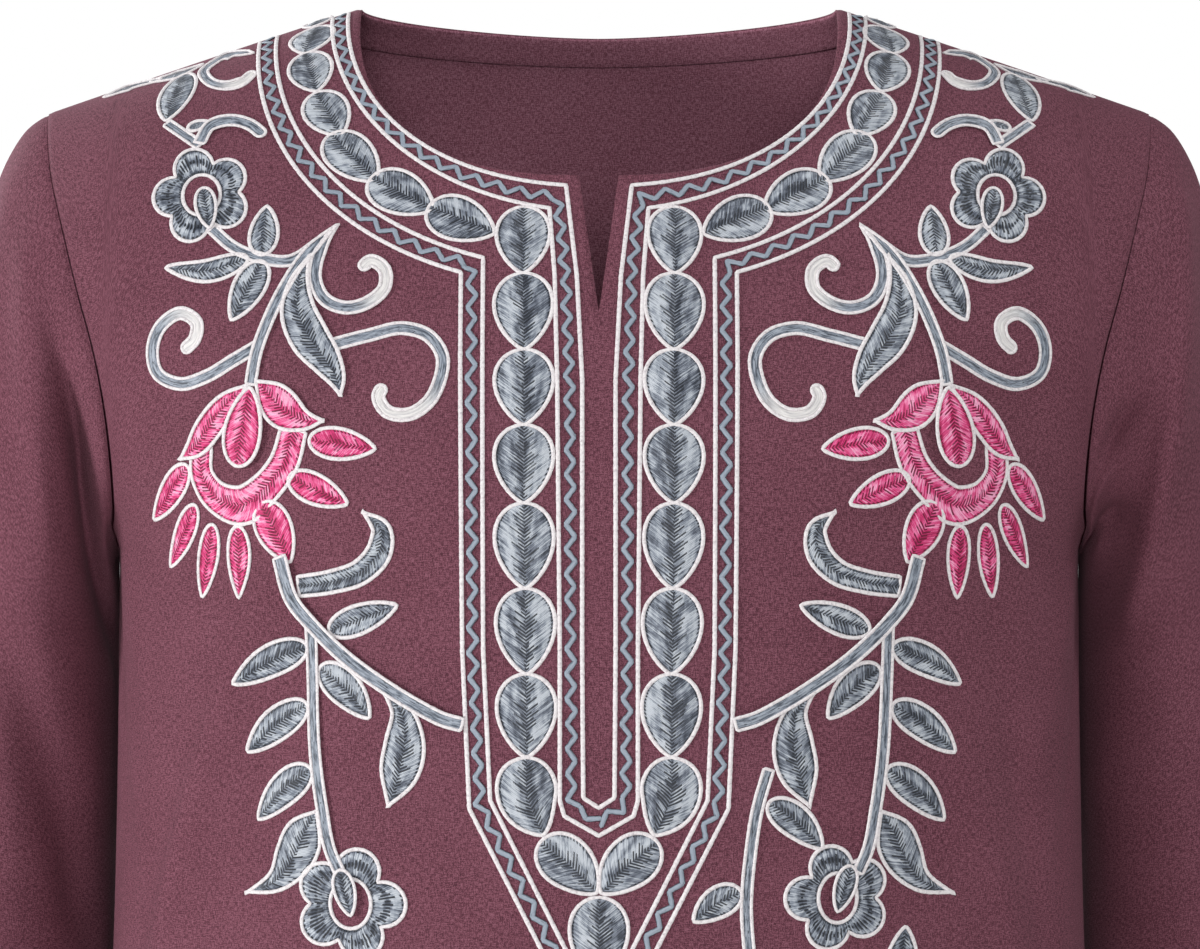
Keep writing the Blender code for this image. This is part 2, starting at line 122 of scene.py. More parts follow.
BODY_SECTIONS = table(
    "height half_width front_depth back_depth",
    (0.030, UNDERARM_HALF_WIDTH, 0.095, 0.080),
    (-0.050, UNDERARM_HALF_WIDTH, 0.111, 0.095),
    (-0.120, UNDERARM_HALF_WIDTH, 0.125, 0.105),
    (-0.205, UNDERARM_HALF_WIDTH, 0.135, 0.108),
    (-0.280, 0.1820, 0.135, 0.104),
    (-0.360, 0.1840, 0.131, 0.101),
    (-0.460, 0.1900, 0.128, 0.104),
    (-0.580, 0.2020, 0.130, 0.114),
    (-0.720, 0.2170, 0.136, 0.124),
    (-0.860, 0.2320, 0.143, 0.133),
)
ARMHOLE = table(
    "height half_width",
    (-0.040, 0.2090),
    (-0.063, 0.2055),
    (-0.087, 0.1990),
    (-0.109, 0.1930),
    (-0.130, 0.1870),
    (-0.155, 0.1825),
    (-0.180, 0.1808),
    (-0.205, UNDERARM_HALF_WIDTH),
)
print("sections:", len(BODY_SECTIONS), "armhole points:", len(ARMHOLE))

# %% Rings of a sleeve
# From the armhole, 0, to the cuff, 1: the outermost and innermost points, half the depth from front to
# back, and how far the ring lies forward.
SLEEVE = table(
    "along outer_x outer_z inner_x inner_z half_depth forward",
    (0.00, 0.2090, -0.0400, 0.1815, -0.2050, 0.068, 0.000),
    (0.03, 0.2175, -0.0465, 0.1823, -0.2062, 0.068, -0.001),
    (0.06, 0.2245, -0.0575, 0.1827, -0.2078, 0.068, -0.002),
    (0.11, 0.2325, -0.0800, 0.1829, -0.2110, 0.067, -0.004),
    (0.18, 0.2430, -0.1180, 0.1829, -0.2190, 0.065, -0.008),
    (0.27, 0.2550, -0.1660, 0.1830, -0.2380, 0.062, -0.014),
    (0.38, 0.2670, -0.2260, 0.1833, -0.2720, 0.060, -0.021),
    (0.50, 0.2765, -0.3000, 0.1845, -0.3300, 0.057, -0.025),
    (0.62, 0.2830, -0.3780, 0.1880, -0.3960, 0.053, -0.022),
    (0.74, 0.2870, -0.4560, 0.1955, -0.4660, 0.048, -0.013),
    (0.87, 0.2900, -0.5400, 0.2040, -0.5450, 0.044, 0.002),
    (1.00, 0.2920, -0.6250, 0.2120, -0.6250, 0.041, 0.020),
)
print("sleeve rings:", len(SLEEVE))

# %% [markdown]
# ## Folds
# Cloth that hangs from the chest opens into soft folds towards the hem, and a sleeve bends at the elbow
# and gathers under the arm. Simulated folds fall where they like, so these are placed one by one. The
# large ones are the solids' own. The small creases are only on the cloth: drag lines that run from the
# underarm, where the sleeve pulls, and faint press marks.

# %% Folds of the body
# The angle is measured round the body from the centre front towards the wearer's left, in degrees, and
# the fold is raised or sunk by height once it is below foot.
BODY_FOLDS = table(
    "angle spread top foot height",
    (52, 11, -0.240, -0.560, 0.0085),
    (34, 10, -0.300, -0.700, -0.0060),
    (12, 12, -0.420, -0.820, 0.0070),
    (-14, 12, -0.460, -0.840, -0.0050),
    (-30, 11, -0.380, -0.760, 0.0070),
    (-48, 10, -0.200, -0.560, 0.0060),
    (-66, 10, -0.300, -0.640, -0.0070),
    (72, 9, -0.300, -0.640, -0.0060),
    (118, 12, -0.320, -0.660, 0.0090),
    (141, 11, -0.360, -0.760, -0.0070),
    (163, 11, -0.300, -0.760, 0.0080),
    (-122, 12, -0.300, -0.660, 0.0080),
    (-146, 11, -0.380, -0.760, -0.0065),
    (-168, 11, -0.340, -0.740, 0.0065),
)
# A crease runs from a to b. Its width and height are in metres.
BODY_CREASES = table(
    "angle_a z_a angle_b z_b width height",
    (80, -0.190, 58, -0.290, 0.016, 0.0016),
    (84, -0.215, 66, -0.330, 0.014, -0.0014),
    (-80, -0.190, -60, -0.280, 0.016, 0.0015),
    (-84, -0.215, -68, -0.340, 0.015, -0.0014),
    (100, -0.200, 122, -0.290, 0.016, 0.0028),
    (-100, -0.200, -124, -0.300, 0.016, 0.0028),
    (150, -0.120, 176, -0.150, 0.022, 0.0026),
    (-140, -0.110, -170, -0.145, 0.022, 0.0026),
    (130, -0.380, 150, -0.470, 0.026, 0.0030),
    (-132, -0.400, -158, -0.500, 0.028, 0.0030),
    (172, -0.230, 140, -0.420, 0.030, 0.0032),
    (-176, -0.300, -150, -0.560, 0.032, -0.0032),
    (112, -0.150, 128, -0.330, 0.026, -0.0030),
    (-110, -0.160, -130, -0.350, 0.026, 0.0032),
    (-39, -0.222, -62, -0.370, 0.017, 0.0046),
    (-31, -0.240, -52, -0.380, 0.024, -0.0034),
    (38, -0.250, 55, -0.375, 0.018, 0.0028),
    (48, -0.215, 62, -0.370, 0.022, -0.0028),
)
METRES_PER_DEGREE = 0.0030
print("body folds:", len(BODY_FOLDS), "creases:", len(BODY_CREASES))

# %% Folds of a sleeve
# The angle runs from the outer side, 0, over the front, 90, to the inner side, 180, and on over the back.
# The width is a share of the sleeve's length, which is as long as an arc of FOLD_DEGREES round it.
FOLD_DEGREES = 300.0
FOLD_END = 0.15
SLEEVE_COLUMNS = "angle_a along_a angle_b along_b width height"
SLEEVE_FOLDS = table(
    SLEEVE_COLUMNS,
    (72, 0.06, 118, 0.34, 0.14, 0.0045),
    (108, 0.03, 150, 0.26, 0.12, -0.0045),
    (40, 0.16, 84, 0.52, 0.15, -0.0035),
    (140, 0.44, 60, 0.52, 0.11, 0.0040),
    (175, 0.50, 80, 0.60, 0.10, -0.0035),
    (140, 0.58, 60, 0.66, 0.11, 0.0040),
    (250, 0.10, 215, 0.36, 0.14, 0.0045),
    (300, 0.30, 250, 0.62, 0.16, -0.0035),
    (60, 0.76, 120, 0.94, 0.12, -0.0030),
)
SLEEVE_CREASES = {
    1: table(
        SLEEVE_COLUMNS,
        (46, 0.05, 122, 0.28, 0.060, 0.0080),
        (24, 0.10, 90, 0.36, 0.090, -0.0070),
        (138, 0.01, 96, 0.100, 0.034, -0.0060),
        (170, 0.05, 118, 0.185, 0.038, -0.0066),
        (146, 0.03, 112, 0.125, 0.028, 0.0022),
        (150, 0.50, 90, 0.56, 0.040, 0.0012),
        (200, 0.04, 230, 0.20, 0.040, 0.0022),
        (210, 0.52, 265, 0.60, 0.050, 0.0016),
        (30, 0.84, 330, 0.90, 0.050, 0.0010),
    ),
    -1: table(
        SLEEVE_COLUMNS,
        (36, 0.07, 80, 0.26, 0.080, 0.0060),
        (86, 0.05, 138, 0.14, 0.068, -0.0095),
        (120, 0.10, 178, 0.30, 0.066, -0.0086),
        (62, 0.07, 106, 0.22, 0.060, 0.0034),
        (100, 0.38, 150, 0.54, 0.080, -0.0070),
        (160, 0.62, 100, 0.69, 0.040, -0.0014),
        (204, 0.05, 236, 0.22, 0.042, 0.0022),
        (300, 0.46, 240, 0.56, 0.050, 0.0014),
        (36, 0.80, 336, 0.88, 0.050, 0.0010),
    ),
}
print("sleeve folds:", len(SLEEVE_FOLDS), "creases:", len(SLEEVE_CREASES[1] + SLEEVE_CREASES[-1]))

# %% Curves through a few known values
def eased(t):
    """0 to 1 with a soft start and end."""
    t = np.clip(t, 0, 1)
    return t * t * (3 - 2 * t)


def mixed(a, b, t):
    return a + (b - a) * t


def unit(vectors):
    """Vectors scaled to length 1."""
    return vectors / np.linalg.norm(vectors, axis=-1, keepdims=True)


def smooth(places, values, place):
    """Reads a smooth curve through values at places."""
    slopes = np.gradient(values, places)
    place = np.clip(place, places[0], places[-1])
    below = np.clip(np.searchsorted(places, place) - 1, 0, len(places) - 2)
    step = places[below + 1] - places[below]
    t = (place - places[below]) / step
    rise = values[below + 1] - values[below]
    bend_in = slopes[below] * step - rise
    bend_out = rise - slopes[below + 1] * step
    return values[below] + t * rise + t * (1 - t) * ((1 - t) * bend_in + t * bend_out)


def from_table(rows, key, column, place):
    """A column of a table, read at any place by a smooth curve through its rows."""
    rows = sorted(rows, key=lambda row: getattr(row, key))
    places = np.array([getattr(row, key) for row in rows])
    return smooth(places, np.array([getattr(row, column) for row in rows]), place)


waist = from_table(BODY_SECTIONS, "height", "half_width", -0.4)
print("half-width at the waist, mm:", round(1000 * float(waist)))

# %% The surface of the body
def shoulder_line(x):
    """The height of the shoulder seam, and of the same line carried on over the neck hole."""
    return SHOULDER_CREST - SHOULDER_SLOPE * np.hypot(x, SHOULDER_BEND)


def half_width(z):
    above = np.clip((z - UNDERARM) / YOKE_RISE, 0, 1)
    widened = np.sin(above * math.pi / 2) ** (SECTION_POWER / 2)
    yoke = UNDERARM_HALF_WIDTH + (YOKE_HALF_WIDTH - UNDERARM_HALF_WIDTH) * widened
    return np.where(z > UNDERARM, yoke, from_table(BODY_SECTIONS, "height", "half_width", z))


def shoulder_rounding(x, z):
    """0 on the shoulder seam and 1 where the cloth has come down to its full depth."""
    towards_tip = eased((np.abs(x) - NECK_HALF_WIDTH / 2) / (SHOULDER_HALF_WIDTH - NECK_HALF_WIDTH / 2))
    reach = mixed(ROUNDING_AT_NECK, ROUNDING_AT_TIP, towards_tip)
    up = np.clip(1 - (shoulder_line(x) - z) / reach, 0, 1)
    return np.sqrt(1 - up * up)


def angle_at(x, z):
    """The section's angle at half-width x: 0 at the centre line and 90 degrees at the side."""
    return np.arcsin(np.clip(x / half_width(z), 0, 1) ** (SECTION_POWER / 2))


def ridge(x, y, line, width, height):
    """A soft ridge or trough along a line from (ax, ay) to (bx, by), fading out towards both ends."""
    ax, ay, bx, by = line
    run_x, run_y = bx - ax, by - ay
    t = np.clip(((x - ax) * run_x + (y - ay) * run_y) / (run_x**2 + run_y**2), 0, 1)
    away = np.hypot(x - ax - t * run_x, y - ay - t * run_y)
    fading = np.sin(math.pi * mixed(FOLD_END, 1 - FOLD_END, t))
    return height * fading * np.exp(-((away / (width / 2)) ** 2))


def body_lift(bearing, z):
    """How far the folds and creases lift the cloth at a bearing round the body, in degrees."""
    lift = np.zeros(np.broadcast(bearing, z).shape)
    for fold in BODY_FOLDS:
        turn = (bearing - fold.angle + 180) % 360 - 180
        drop = eased((fold.top - z) / (fold.top - fold.foot))
        lift = lift + fold.height * drop * np.exp(-((turn / fold.spread) ** 2))
    for crease in BODY_CREASES:
        turn = (bearing - crease.angle_a + 180) % 360 - 180
        ends = 0.0, crease.z_a, (crease.angle_b - crease.angle_a) * METRES_PER_DEGREE, crease.z_b
        lift = lift + ridge(turn * METRES_PER_DEGREE, z, ends, crease.width, crease.height)
    return lift


def depth(front, z):
    """How far the section at height z reaches forwards or backwards."""
    return from_table(BODY_SECTIONS, "height", "front_depth" if front else "back_depth", z)


def out_at(z, angle):
    """The half-width of the section at height z where its angle is this."""
    return half_width(z) * np.sin(angle) ** (2 / SECTION_POWER)


def on_body(front, side, x, z, angle):
    """The cloth's outer surface at half-width x, height z and section angle."""
    facing = -1 if front else 1
    half, deep = half_width(z), depth(front, z)
    y = facing * deep * np.cos(angle) ** (2 / SECTION_POWER) * shoulder_rounding(x, z)
    lift = body_lift(side * np.degrees(angle if front else math.pi - angle), z)
    out_x, out_y = np.sin(angle) / half, facing * np.cos(angle) / deep
    size = np.hypot(out_x, out_y)
    x, y, z = np.broadcast_arrays(x + lift * out_x / size, y + lift * out_y / size, z)
    return np.stack([side * x, y, z], axis=-1)


chest = on_body(True, 1, np.array([0.0]), np.array([-0.2]), np.array([0.0]))[0]
print("centre of the chest, mm:", np.round(1000 * chest, 1))

# %% The edges of a panel
def neckline(front, t):
    """The neck edge from the shoulder seam, 0, to the centre, 1, as half-width and height."""
    drop = FRONT_NECK_DROP if front else BACK_NECK_DROP
    power = FRONT_NECK_POWER if front else BACK_NECK_POWER
    half_gap = SLIT_HALF_WIDTH if front else 0.0
    end = math.acos((half_gap / NECK_HALF_WIDTH) ** (power / 2))
    turn = end * t**NECK_ROW_SPACING
    x = NECK_HALF_WIDTH * np.cos(turn) ** (2 / power)
    return x, -drop * np.sin(turn) ** (2 / power)


def inner_edge(front, down):
    """The edge from the shoulder seam along the neck and down the centre line. In down, 1 is level with
    the underarm and 2 is the hem."""
    neck_x, neck_z = neckline(front, np.clip(down / NECK_SHARE, 0, 1))
    corner_x, corner_z = neckline(front, 1.0)
    slit_end = SLIT_END if front else NECK_SHARE
    foot_z = SLIT_FOOT if front else corner_z
    slit = np.clip((down - NECK_SHARE) / SLIT_SHARE, 0, 1)
    slit_x, slit_z = mixed(corner_x, 0.0, slit), mixed(corner_z, foot_z, slit)
    centre_z = mixed(foot_z, UNDERARM, np.clip((down - slit_end) / (1 - slit_end), 0, 1))
    centre_z = np.where(down > 1, mixed(UNDERARM, HEM, down - 1), centre_z)
    on_neck, on_slit = down <= NECK_SHARE, down < slit_end
    x = np.where(on_neck, neck_x, np.where(on_slit, slit_x, 0.0))
    z = np.where(on_neck, neck_z, np.where(on_slit, slit_z, centre_z))
    return x, z


def slit_opening(z):
    """How far a side slit has opened at height z, as a section angle."""
    return SIDE_SLIT_OPENING * np.clip((SIDE_SLIT_TOP - z) / (SIDE_SLIT_TOP - HEM), 0, 1)


def outer_edge(down):
    """The armhole from the shoulder tip to the underarm, and the side seam down to the hem."""
    middle, half = (UNDERARM - SHOULDER_DROP) / 2, (-SHOULDER_DROP - UNDERARM) / 2
    arm_z = middle + half * np.cos(math.pi * np.clip(down, 0, 1))
    arm_x = from_table(ARMHOLE, "height", "half_width", arm_z)
    arm_z = np.minimum(arm_z, shoulder_line(arm_x))
    z = np.where(down > 1, mixed(UNDERARM, HEM, down - 1), arm_z)
    angle = np.where(down > 1, math.pi / 2 - slit_opening(z), angle_at(arm_x, arm_z))
    x = np.where(down > 1, out_at(z, angle), arm_x)
    return x, z, angle


print("neck corner, mm:", [round(1000 * float(value), 1) for value in neckline(True, 1.0)])

# %% A panel and a sleeve as grids of points
def panel(front, side, down, across):
    """Half of the front or back: a row for each place in down, a column for each place in across."""
    down, across = np.asarray(down, float)[:, None], np.asarray(across, float)[None, :]
    in_x, in_z = inner_edge(front, down)
    out_x, out_z, out_angle = outer_edge(down)
    angle = mixed(angle_at(in_x, in_z), out_angle, across)
    straight = mixed(in_z, out_z, across)
    below = mixed(shoulder_line(in_x) - in_z, shoulder_line(out_x) - out_z, across)
    level = eased(down)
    z = straight
    for _ in range(LEVELLING_STEPS):
        x = out_at(z, angle)
        z = mixed(shoulder_line(x) - below, straight, level)
    return on_body(front, side, x, z, angle)


def sleeve_lift(side, angle, along):
    """How far the folds and creases lift a sleeve, at an angle in degrees and a place along it."""
    lift = np.zeros(np.broadcast(angle, along).shape)
    for fold in SLEEVE_FOLDS + SLEEVE_CREASES[side]:
        ends = fold.angle_a / FOLD_DEGREES, fold.along_a, fold.angle_b / FOLD_DEGREES, fold.along_b
        lift = lift + ridge(angle / FOLD_DEGREES, along, ends, fold.width, fold.height)
    return lift


def sleeve(side, ring_places, along):
    """Rings of points from the armhole to the cuff."""
    front = panel(True, side, ring_places, [1.0])[:, 0]
    back = panel(False, side, ring_places, [1.0])[:, 0]
    ring = np.concatenate([front, back[-2:0:-1]])
    down = np.asarray(ring_places) * math.pi
    turn = np.concatenate([down, 2 * math.pi - down[-2:0:-1]])[None, :]
    along = np.asarray(along, float)[:, None]
    column = {name: from_table(SLEEVE, "along", name, along) for name in SLEEVE[0]._fields[1:]}
    mid_x, mid_z = ((column["outer_" + k] + column["inner_" + k]) / 2 for k in "xz")
    arm_x, arm_z = ((column["outer_" + k] - column["inner_" + k]) / 2 for k in "xz")
    oval = np.stack([
        side * (mid_x + arm_x * np.cos(turn)),
        -column["forward"] - column["half_depth"] * np.sin(turn),
        mid_z + arm_z * np.cos(turn),
    ], axis=-1)
    fade = 1 - eased(along / SLEEVE_HEAD_END)[..., None]
    points = oval + fade * (ring - oval[0])
    outward = unit(points - points.mean(axis=1, keepdims=True))
    lift = sleeve_lift(side, np.degrees(turn), along) * eased(along / SLEEVE_FOLDS_START)
    return points + outward * lift[..., None]


def around(points, axis):
    """Each point's step from the one before it to the one after it, on a closed line."""
    return np.roll(points, -1, axis=axis) - np.roll(points, 1, axis=axis)


def grid_normals(points, outward, closed=False):
    """Unit normals of a grid of points, turned to face away from a point or line inside."""
    across = around(points, 1) if closed else np.gradient(points, axis=1)
    normals = unit(np.cross(np.gradient(points, axis=0), across))
    return normals if np.sum(normals * outward) > 0 else -normals


print("a sleeve's cuff is this wide, mm:", round(1000 * (SLEEVE[-1].outer_x - SLEEVE[-1].inner_x)))

# %% [markdown]
# ## Grids of points into meshes
# Every piece here, from a sleeve to a stitch, is one or more grids of points joined by quads. Working
# with whole grids in numpy keeps the script fast, and lets each corner carry its own values for the
# materials, such as how far along a thread it lies. Those values go into UV maps.

# %% A helper that collects grids
SAME_POINT = 1e-6


class Sewn:
    """Collects grids of points as quads, with two values a corner for each named map."""

    def __init__(self, *maps):
        self.points, self.faces, self.skins, self.count = [], [], [], 0
        self.maps = {name: [] for name in maps}

    def add(self, points, round_rows=False, round_columns=False, skin=0, **maps):
        """Adds a grid. A round grid closes on itself, and its maps have one more row or column."""
        rows, columns = points.shape[:2]
        down, over = np.arange(rows - (not round_rows)), np.arange(columns - (not round_columns))
        i, j = np.meshgrid(down, over, indexing="ij")
        corners = [(i, j), (i + 1, j), (i + 1, j + 1), (i, j + 1)]
        quads = np.stack([(a % rows) * columns + b % columns for a, b in corners], axis=-1)
        self.points.append(points.reshape(-1, 3))
        self.faces.append(quads.reshape(-1, 4) + self.count)
        self.skins.append(np.full(quads.shape[0] * quads.shape[1], skin))
        self.count += rows * columns
        for name, values in maps.items():
            self.maps[name].append(np.stack([values[a, b] for a, b in corners], axis=2).reshape(-1, 2))

    def make(self, name, material, slot, weld=False, wrong_side=None):
        """Makes the grids one object that rides on the tunic. Skin 1 is the wrong side of the cloth."""
        mesh = bpy.data.meshes.new(name)
        mesh.from_pydata(np.concatenate(self.points).tolist(), [], np.concatenate(self.faces).tolist())
        for map_name, values in self.maps.items():
            mesh.uv_layers.new(name=map_name).data.foreach_set("uv", np.concatenate(values).ravel())
        mesh.materials.append(material)
        if wrong_side:
            mesh.materials.append(wrong_side)
            mesh.polygons.foreach_set("material_index", np.concatenate(self.skins))
        if weld:
            joined = bmesh.new()
            joined.from_mesh(mesh)
            bmesh.ops.remove_doubles(joined, verts=joined.verts, dist=SAME_POINT)
            bmesh.ops.recalc_face_normals(joined, faces=joined.faces)
            joined.to_mesh(mesh)
            joined.free()
        mesh.shade_smooth()
        piece = bpy.data.objects.new(name, mesh)
        bpy.context.scene.collection.objects.link(piece)
        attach(piece, "root")
        print(name, "has", len(mesh.polygons), "quads")
        return piece


def run_lengths(points, axis):
    """How far each point lies along its row or column, in metres."""
    steps = np.linalg.norm(np.diff(points, axis=axis), axis=-1)
    start = np.zeros_like(np.take(steps, [0], axis=axis))
    return np.concatenate([start, np.cumsum(steps, axis=axis)], axis=axis)


def stepped(*stops):
    """Places from the first stop to the last. Each later stop is (place, steps to reach it)."""
    places = [stops[0]]
    for place, steps in stops[1:]:
        places.extend(np.linspace(places[-1], place, steps + 1)[1:])
    return np.array(places)


print("a test row of places:", np.round(stepped(0, (0.1, 2), (1, 3)), 2))

# %% [markdown]
# ## Working with shader nodes
# All the materials are procedural. One function adds a node with its settings, values and links, and
# another turns the colours, written as screen hex values, into the linear ones that the shader works
# with.

# %% Helpers for materials
def linear(hex_colour):
    """An sRGB hex colour as linear red, green, blue and alpha."""
    channels = [int(hex_colour[i:i + 2], 16) / 255 for i in (1, 3, 5)]
    return tuple(c / 12.92 if c <= 0.04045 else ((c + 0.055) / 1.055) ** 2.4 for c in channels) + (1.0,)


def add(tree, kind, inputs, **settings):
    """Adds a node. An input given as a socket is linked, and any other value is set."""
    made = tree.nodes.new("ShaderNode" + kind)
    for name, value in settings.items():
        setattr(made, name, value)
    for name, value in inputs.items():
        if isinstance(value, bpy.types.NodeSocket):
            tree.links.new(value, made.inputs[name])
        else:
            made.inputs[name].default_value = value
    return made


def ramp(tree, factor, *stops):
    """Colours spread along a factor. Each stop is (place, hex colour)."""
    made = add(tree, "ValToRGB", {"Fac": factor})
    while len(made.color_ramp.elements) < len(stops):
        made.color_ramp.elements.new(0.5)
    for element, (place, colour) in zip(made.color_ramp.elements, stops):
        element.position = place
        element.color = linear(colour)
    return made.outputs["Color"]


def maths(tree, operation, *values):
    """One sum on numbers or sockets."""
    return add(tree, "Math", dict(enumerate(values)), operation=operation).outputs[0]


def stretched(tree, map_name, *scale):
    """A UV map, scaled: how many times the pattern repeats in each unit of the map."""
    uv = add(tree, "UVMap", {}, uv_map=map_name)
    return add(tree, "Mapping", {"Vector": uv.outputs[0], "Scale": scale}).outputs[0]


def noise(tree, vector, scale, detail=2.0, roughness=0.5):
    inputs = {"Vector": vector, "Scale": scale, "Detail": detail, "Roughness": roughness}
    return add(tree, "TexNoise", inputs).outputs["Fac"]


def weighted(tree, first, *others):
    """The sum of some values, each times its amount."""
    total = maths(tree, "MULTIPLY", *first)
    for part in others:
        total = maths(tree, "ADD", total, maths(tree, "MULTIPLY", *part))
    return total


def map_parts(tree, map_name):
    """The two values that a UV map holds."""
    uv = add(tree, "UVMap", {}, uv_map=map_name)
    parts = add(tree, "SeparateXYZ", {"Vector": uv.outputs[0]}).outputs
    return parts["X"], parts["Y"]


def blended(tree, share, first, second):
    """Two colours mixed: a share of 0 is the first, and 1 is the second."""
    return add(tree, "Mix", {0: share, 6: first, 7: second}, data_type="RGBA").outputs[2]


def start_material(name, shader_values):
    """A material with only its Principled shader, and that shader's constants."""
    material = bpy.data.materials.new(name)
    material.use_nodes = True
    shader = material.node_tree.nodes["Principled BSDF"]
    for socket, value in shader_values.items():
        shader.inputs[socket].default_value = value
    return material, material.node_tree


def finish_material(material, colour, height=None, strength=0.5, distance=0.0003):
    """Links a colour, and the bump that a height makes, to the material's shader."""
    tree = material.node_tree
    inputs = tree.nodes["Principled BSDF"].inputs
    tree.links.new(colour, inputs["Base Color"])
    if height:
        bump = add(tree, "Bump", {"Height": height, "Strength": strength, "Distance": distance})
        tree.links.new(bump.outputs["Normal"], inputs["Normal"])
    return material


print("mid plum in linear light:", [round(c, 3) for c in linear("#6f4552")])

# %% [markdown]
# ## The cloth: brushed plain-weave cotton
# The tunic is plain-woven cotton, dyed plum and lightly brushed. Weaving crosses two sets of threads at
# right angles, and brushing lifts a short nap from them, so the cloth scatters light softly, looks matt
# face on and pales a little where it turns away. Real threads are about 0.3 mm apart, too fine to show,
# so they are drawn at about 0.42 mm. The colour also varies slowly, as dyed cotton does. The wrong side
# of the cloth, which shows inside the neck, and the facing there are given paler colours: painted light
# that brightens the shaded inside of the neck.

# %% Brushed cotton
THREAD_SPACING = 0.00042
THREAD_RUN = 0.0018
MOTTLE_SIZE = 0.030


def woven_cotton(name, dark, middle, light):
    """Plain-woven cotton: matt, with threads in both directions, slow mottling and a soft sheen."""
    material, tree = start_material(name, {
        "Roughness": 0.88,
        "IOR": 1.47,
        "Specular IOR Level": 0.22,
        "Sheen Weight": 0.08,
        "Sheen Roughness": 0.40,
        "Sheen Tint": linear("#e0a9ba"),
    })
    warp = noise(tree, stretched(tree, "cloth", 1 / THREAD_SPACING, 1 / THREAD_RUN, 1), 1.0)
    weft = noise(tree, stretched(tree, "cloth", 1 / THREAD_RUN, 1 / THREAD_SPACING, 1), 1.0)
    grain = noise(tree, stretched(tree, "cloth", 1.4 / THREAD_SPACING, 1.4 / THREAD_SPACING, 1), 1.0, 1.0)
    mottle = noise(tree, stretched(tree, "cloth", 1 / MOTTLE_SIZE, 1 / MOTTLE_SIZE, 1), 1.0, 3.0, 0.6)
    threads = weighted(tree, (warp, 0.30), (weft, 0.30), (grain, 0.40))
    shade = weighted(tree, (threads, 0.95), (mottle, 0.05))
    colour = ramp(tree, shade, (0.425, dark), (0.50, middle), (0.575, light))
    return finish_material(material, colour, threads, 0.45, 0.0004)


# Paler colours for the wrong side and the facing: painted light for the shaded inside of the neck.
PAINTED_LIGHT_WRONG_SIDE = "#6a3e4a", "#905a6b", "#b27f90"
plum_cotton = woven_cotton("brushed_plain_weave_cotton", "#482631", "#6b3d4a", "#8b5968")
cotton_wrong_side_painted_light = woven_cotton("painted_light_plain_weave_wrong_side", *PAINTED_LIGHT_WRONG_SIDE)
facing_cotton_painted_light = woven_cotton("facing_plain_weave_cotton_painted_light", *PAINTED_LIGHT_WRONG_SIDE)
print("drawn thread spacing, mm:", 1000 * THREAD_SPACING)

# %% [markdown]
# ## Shells of cloth
# A sewn edge is turned in and pressed, so the cloth dips for the last couple of millimetres before a seam
# and the seam reads as a fine dark line. The solids leave that out. Each shell is a grid on the same
# surface, with its rows and columns closer together near the seams, so the dip stays crisp. Both skins
# share the grid, and rims join them, which makes a thin closed wall.

# %% Turned edges
CLOTH_THICKNESS = 0.0012
TURN_DEPTH = 0.0006
TURN_REACH = 0.0022


def turned_in(*distances):
    """How far the cloth dips where it is this near to its edges."""
    nearest = np.minimum.reduce(np.broadcast_arrays(*distances))
    return TURN_DEPTH * (1 - eased(nearest / TURN_REACH))


def add_rim(piece, outer, inner, cloth, round_columns=False):
    """The narrow strip that joins two skins along an edge."""
    piece.add(np.stack([outer, inner]), round_columns=round_columns, cloth=np.stack([cloth, cloth]))


def add_wall(piece, points, normals, dip, cloth, round_columns=False, open_rows=0):
    """Both skins of a shell and the rims between them. The first column has a rim down to open_rows."""
    outer = points - normals * dip[..., None]
    inner = points - normals * CLOTH_THICKNESS
    piece.add(outer, round_columns=round_columns, cloth=cloth)
    piece.add(inner, round_columns=round_columns, skin=1, cloth=cloth)
    for row in (0, -1):
        add_rim(piece, outer[row], inner[row], cloth[row], round_columns)
    if not round_columns:
        edge = slice(0, open_rows + 1)
        add_rim(piece, outer[:, -1], inner[:, -1], cloth[:, -1])
        add_rim(piece, outer[edge, 0], inner[edge, 0], cloth[edge, 0])


print("cloth thickness, mm:", 1000 * CLOTH_THICKNESS)

# %% [markdown]
# ### The front and the back
# Each is one piece of cloth. It is built as two halves that share their centre line below the neck slit,
# or below the neckline on the back, and are welded there.

# %% Front and back panels
YOKE_PLACES = stepped(0, (0.003, 1), (0.008, 2), (0.014, 2), (NECK_SHARE, 38), (SLIT_END, 19), (1, 19))
FRONT_DOWN = np.concatenate([YOKE_PLACES, stepped(1, (1.990, 140), (1.997, 2), (2, 3))[1:]])
FRONT_ACROSS = stepped(0, (0.008, 2), (0.016, 2), (0.975, 54), (0.990, 3), (1, 5))
BACK_YOKE_PLACES = stepped(0, (0.003, 1), (0.008, 2), (0.014, 2), (NECK_SHARE, 30), (1, 25))
BACK_DOWN = np.concatenate([BACK_YOKE_PLACES, stepped(1, (1.990, 110), (1.997, 2), (2, 3))[1:]])
BACK_ACROSS = stepped(0, (0.008, 2), (0.016, 2), (0.975, 40), (0.990, 3), (1, 5))
FLAT_STEP = 0.002
FLAT_REACH = 0.26
FLAT_MARGIN = 0.01


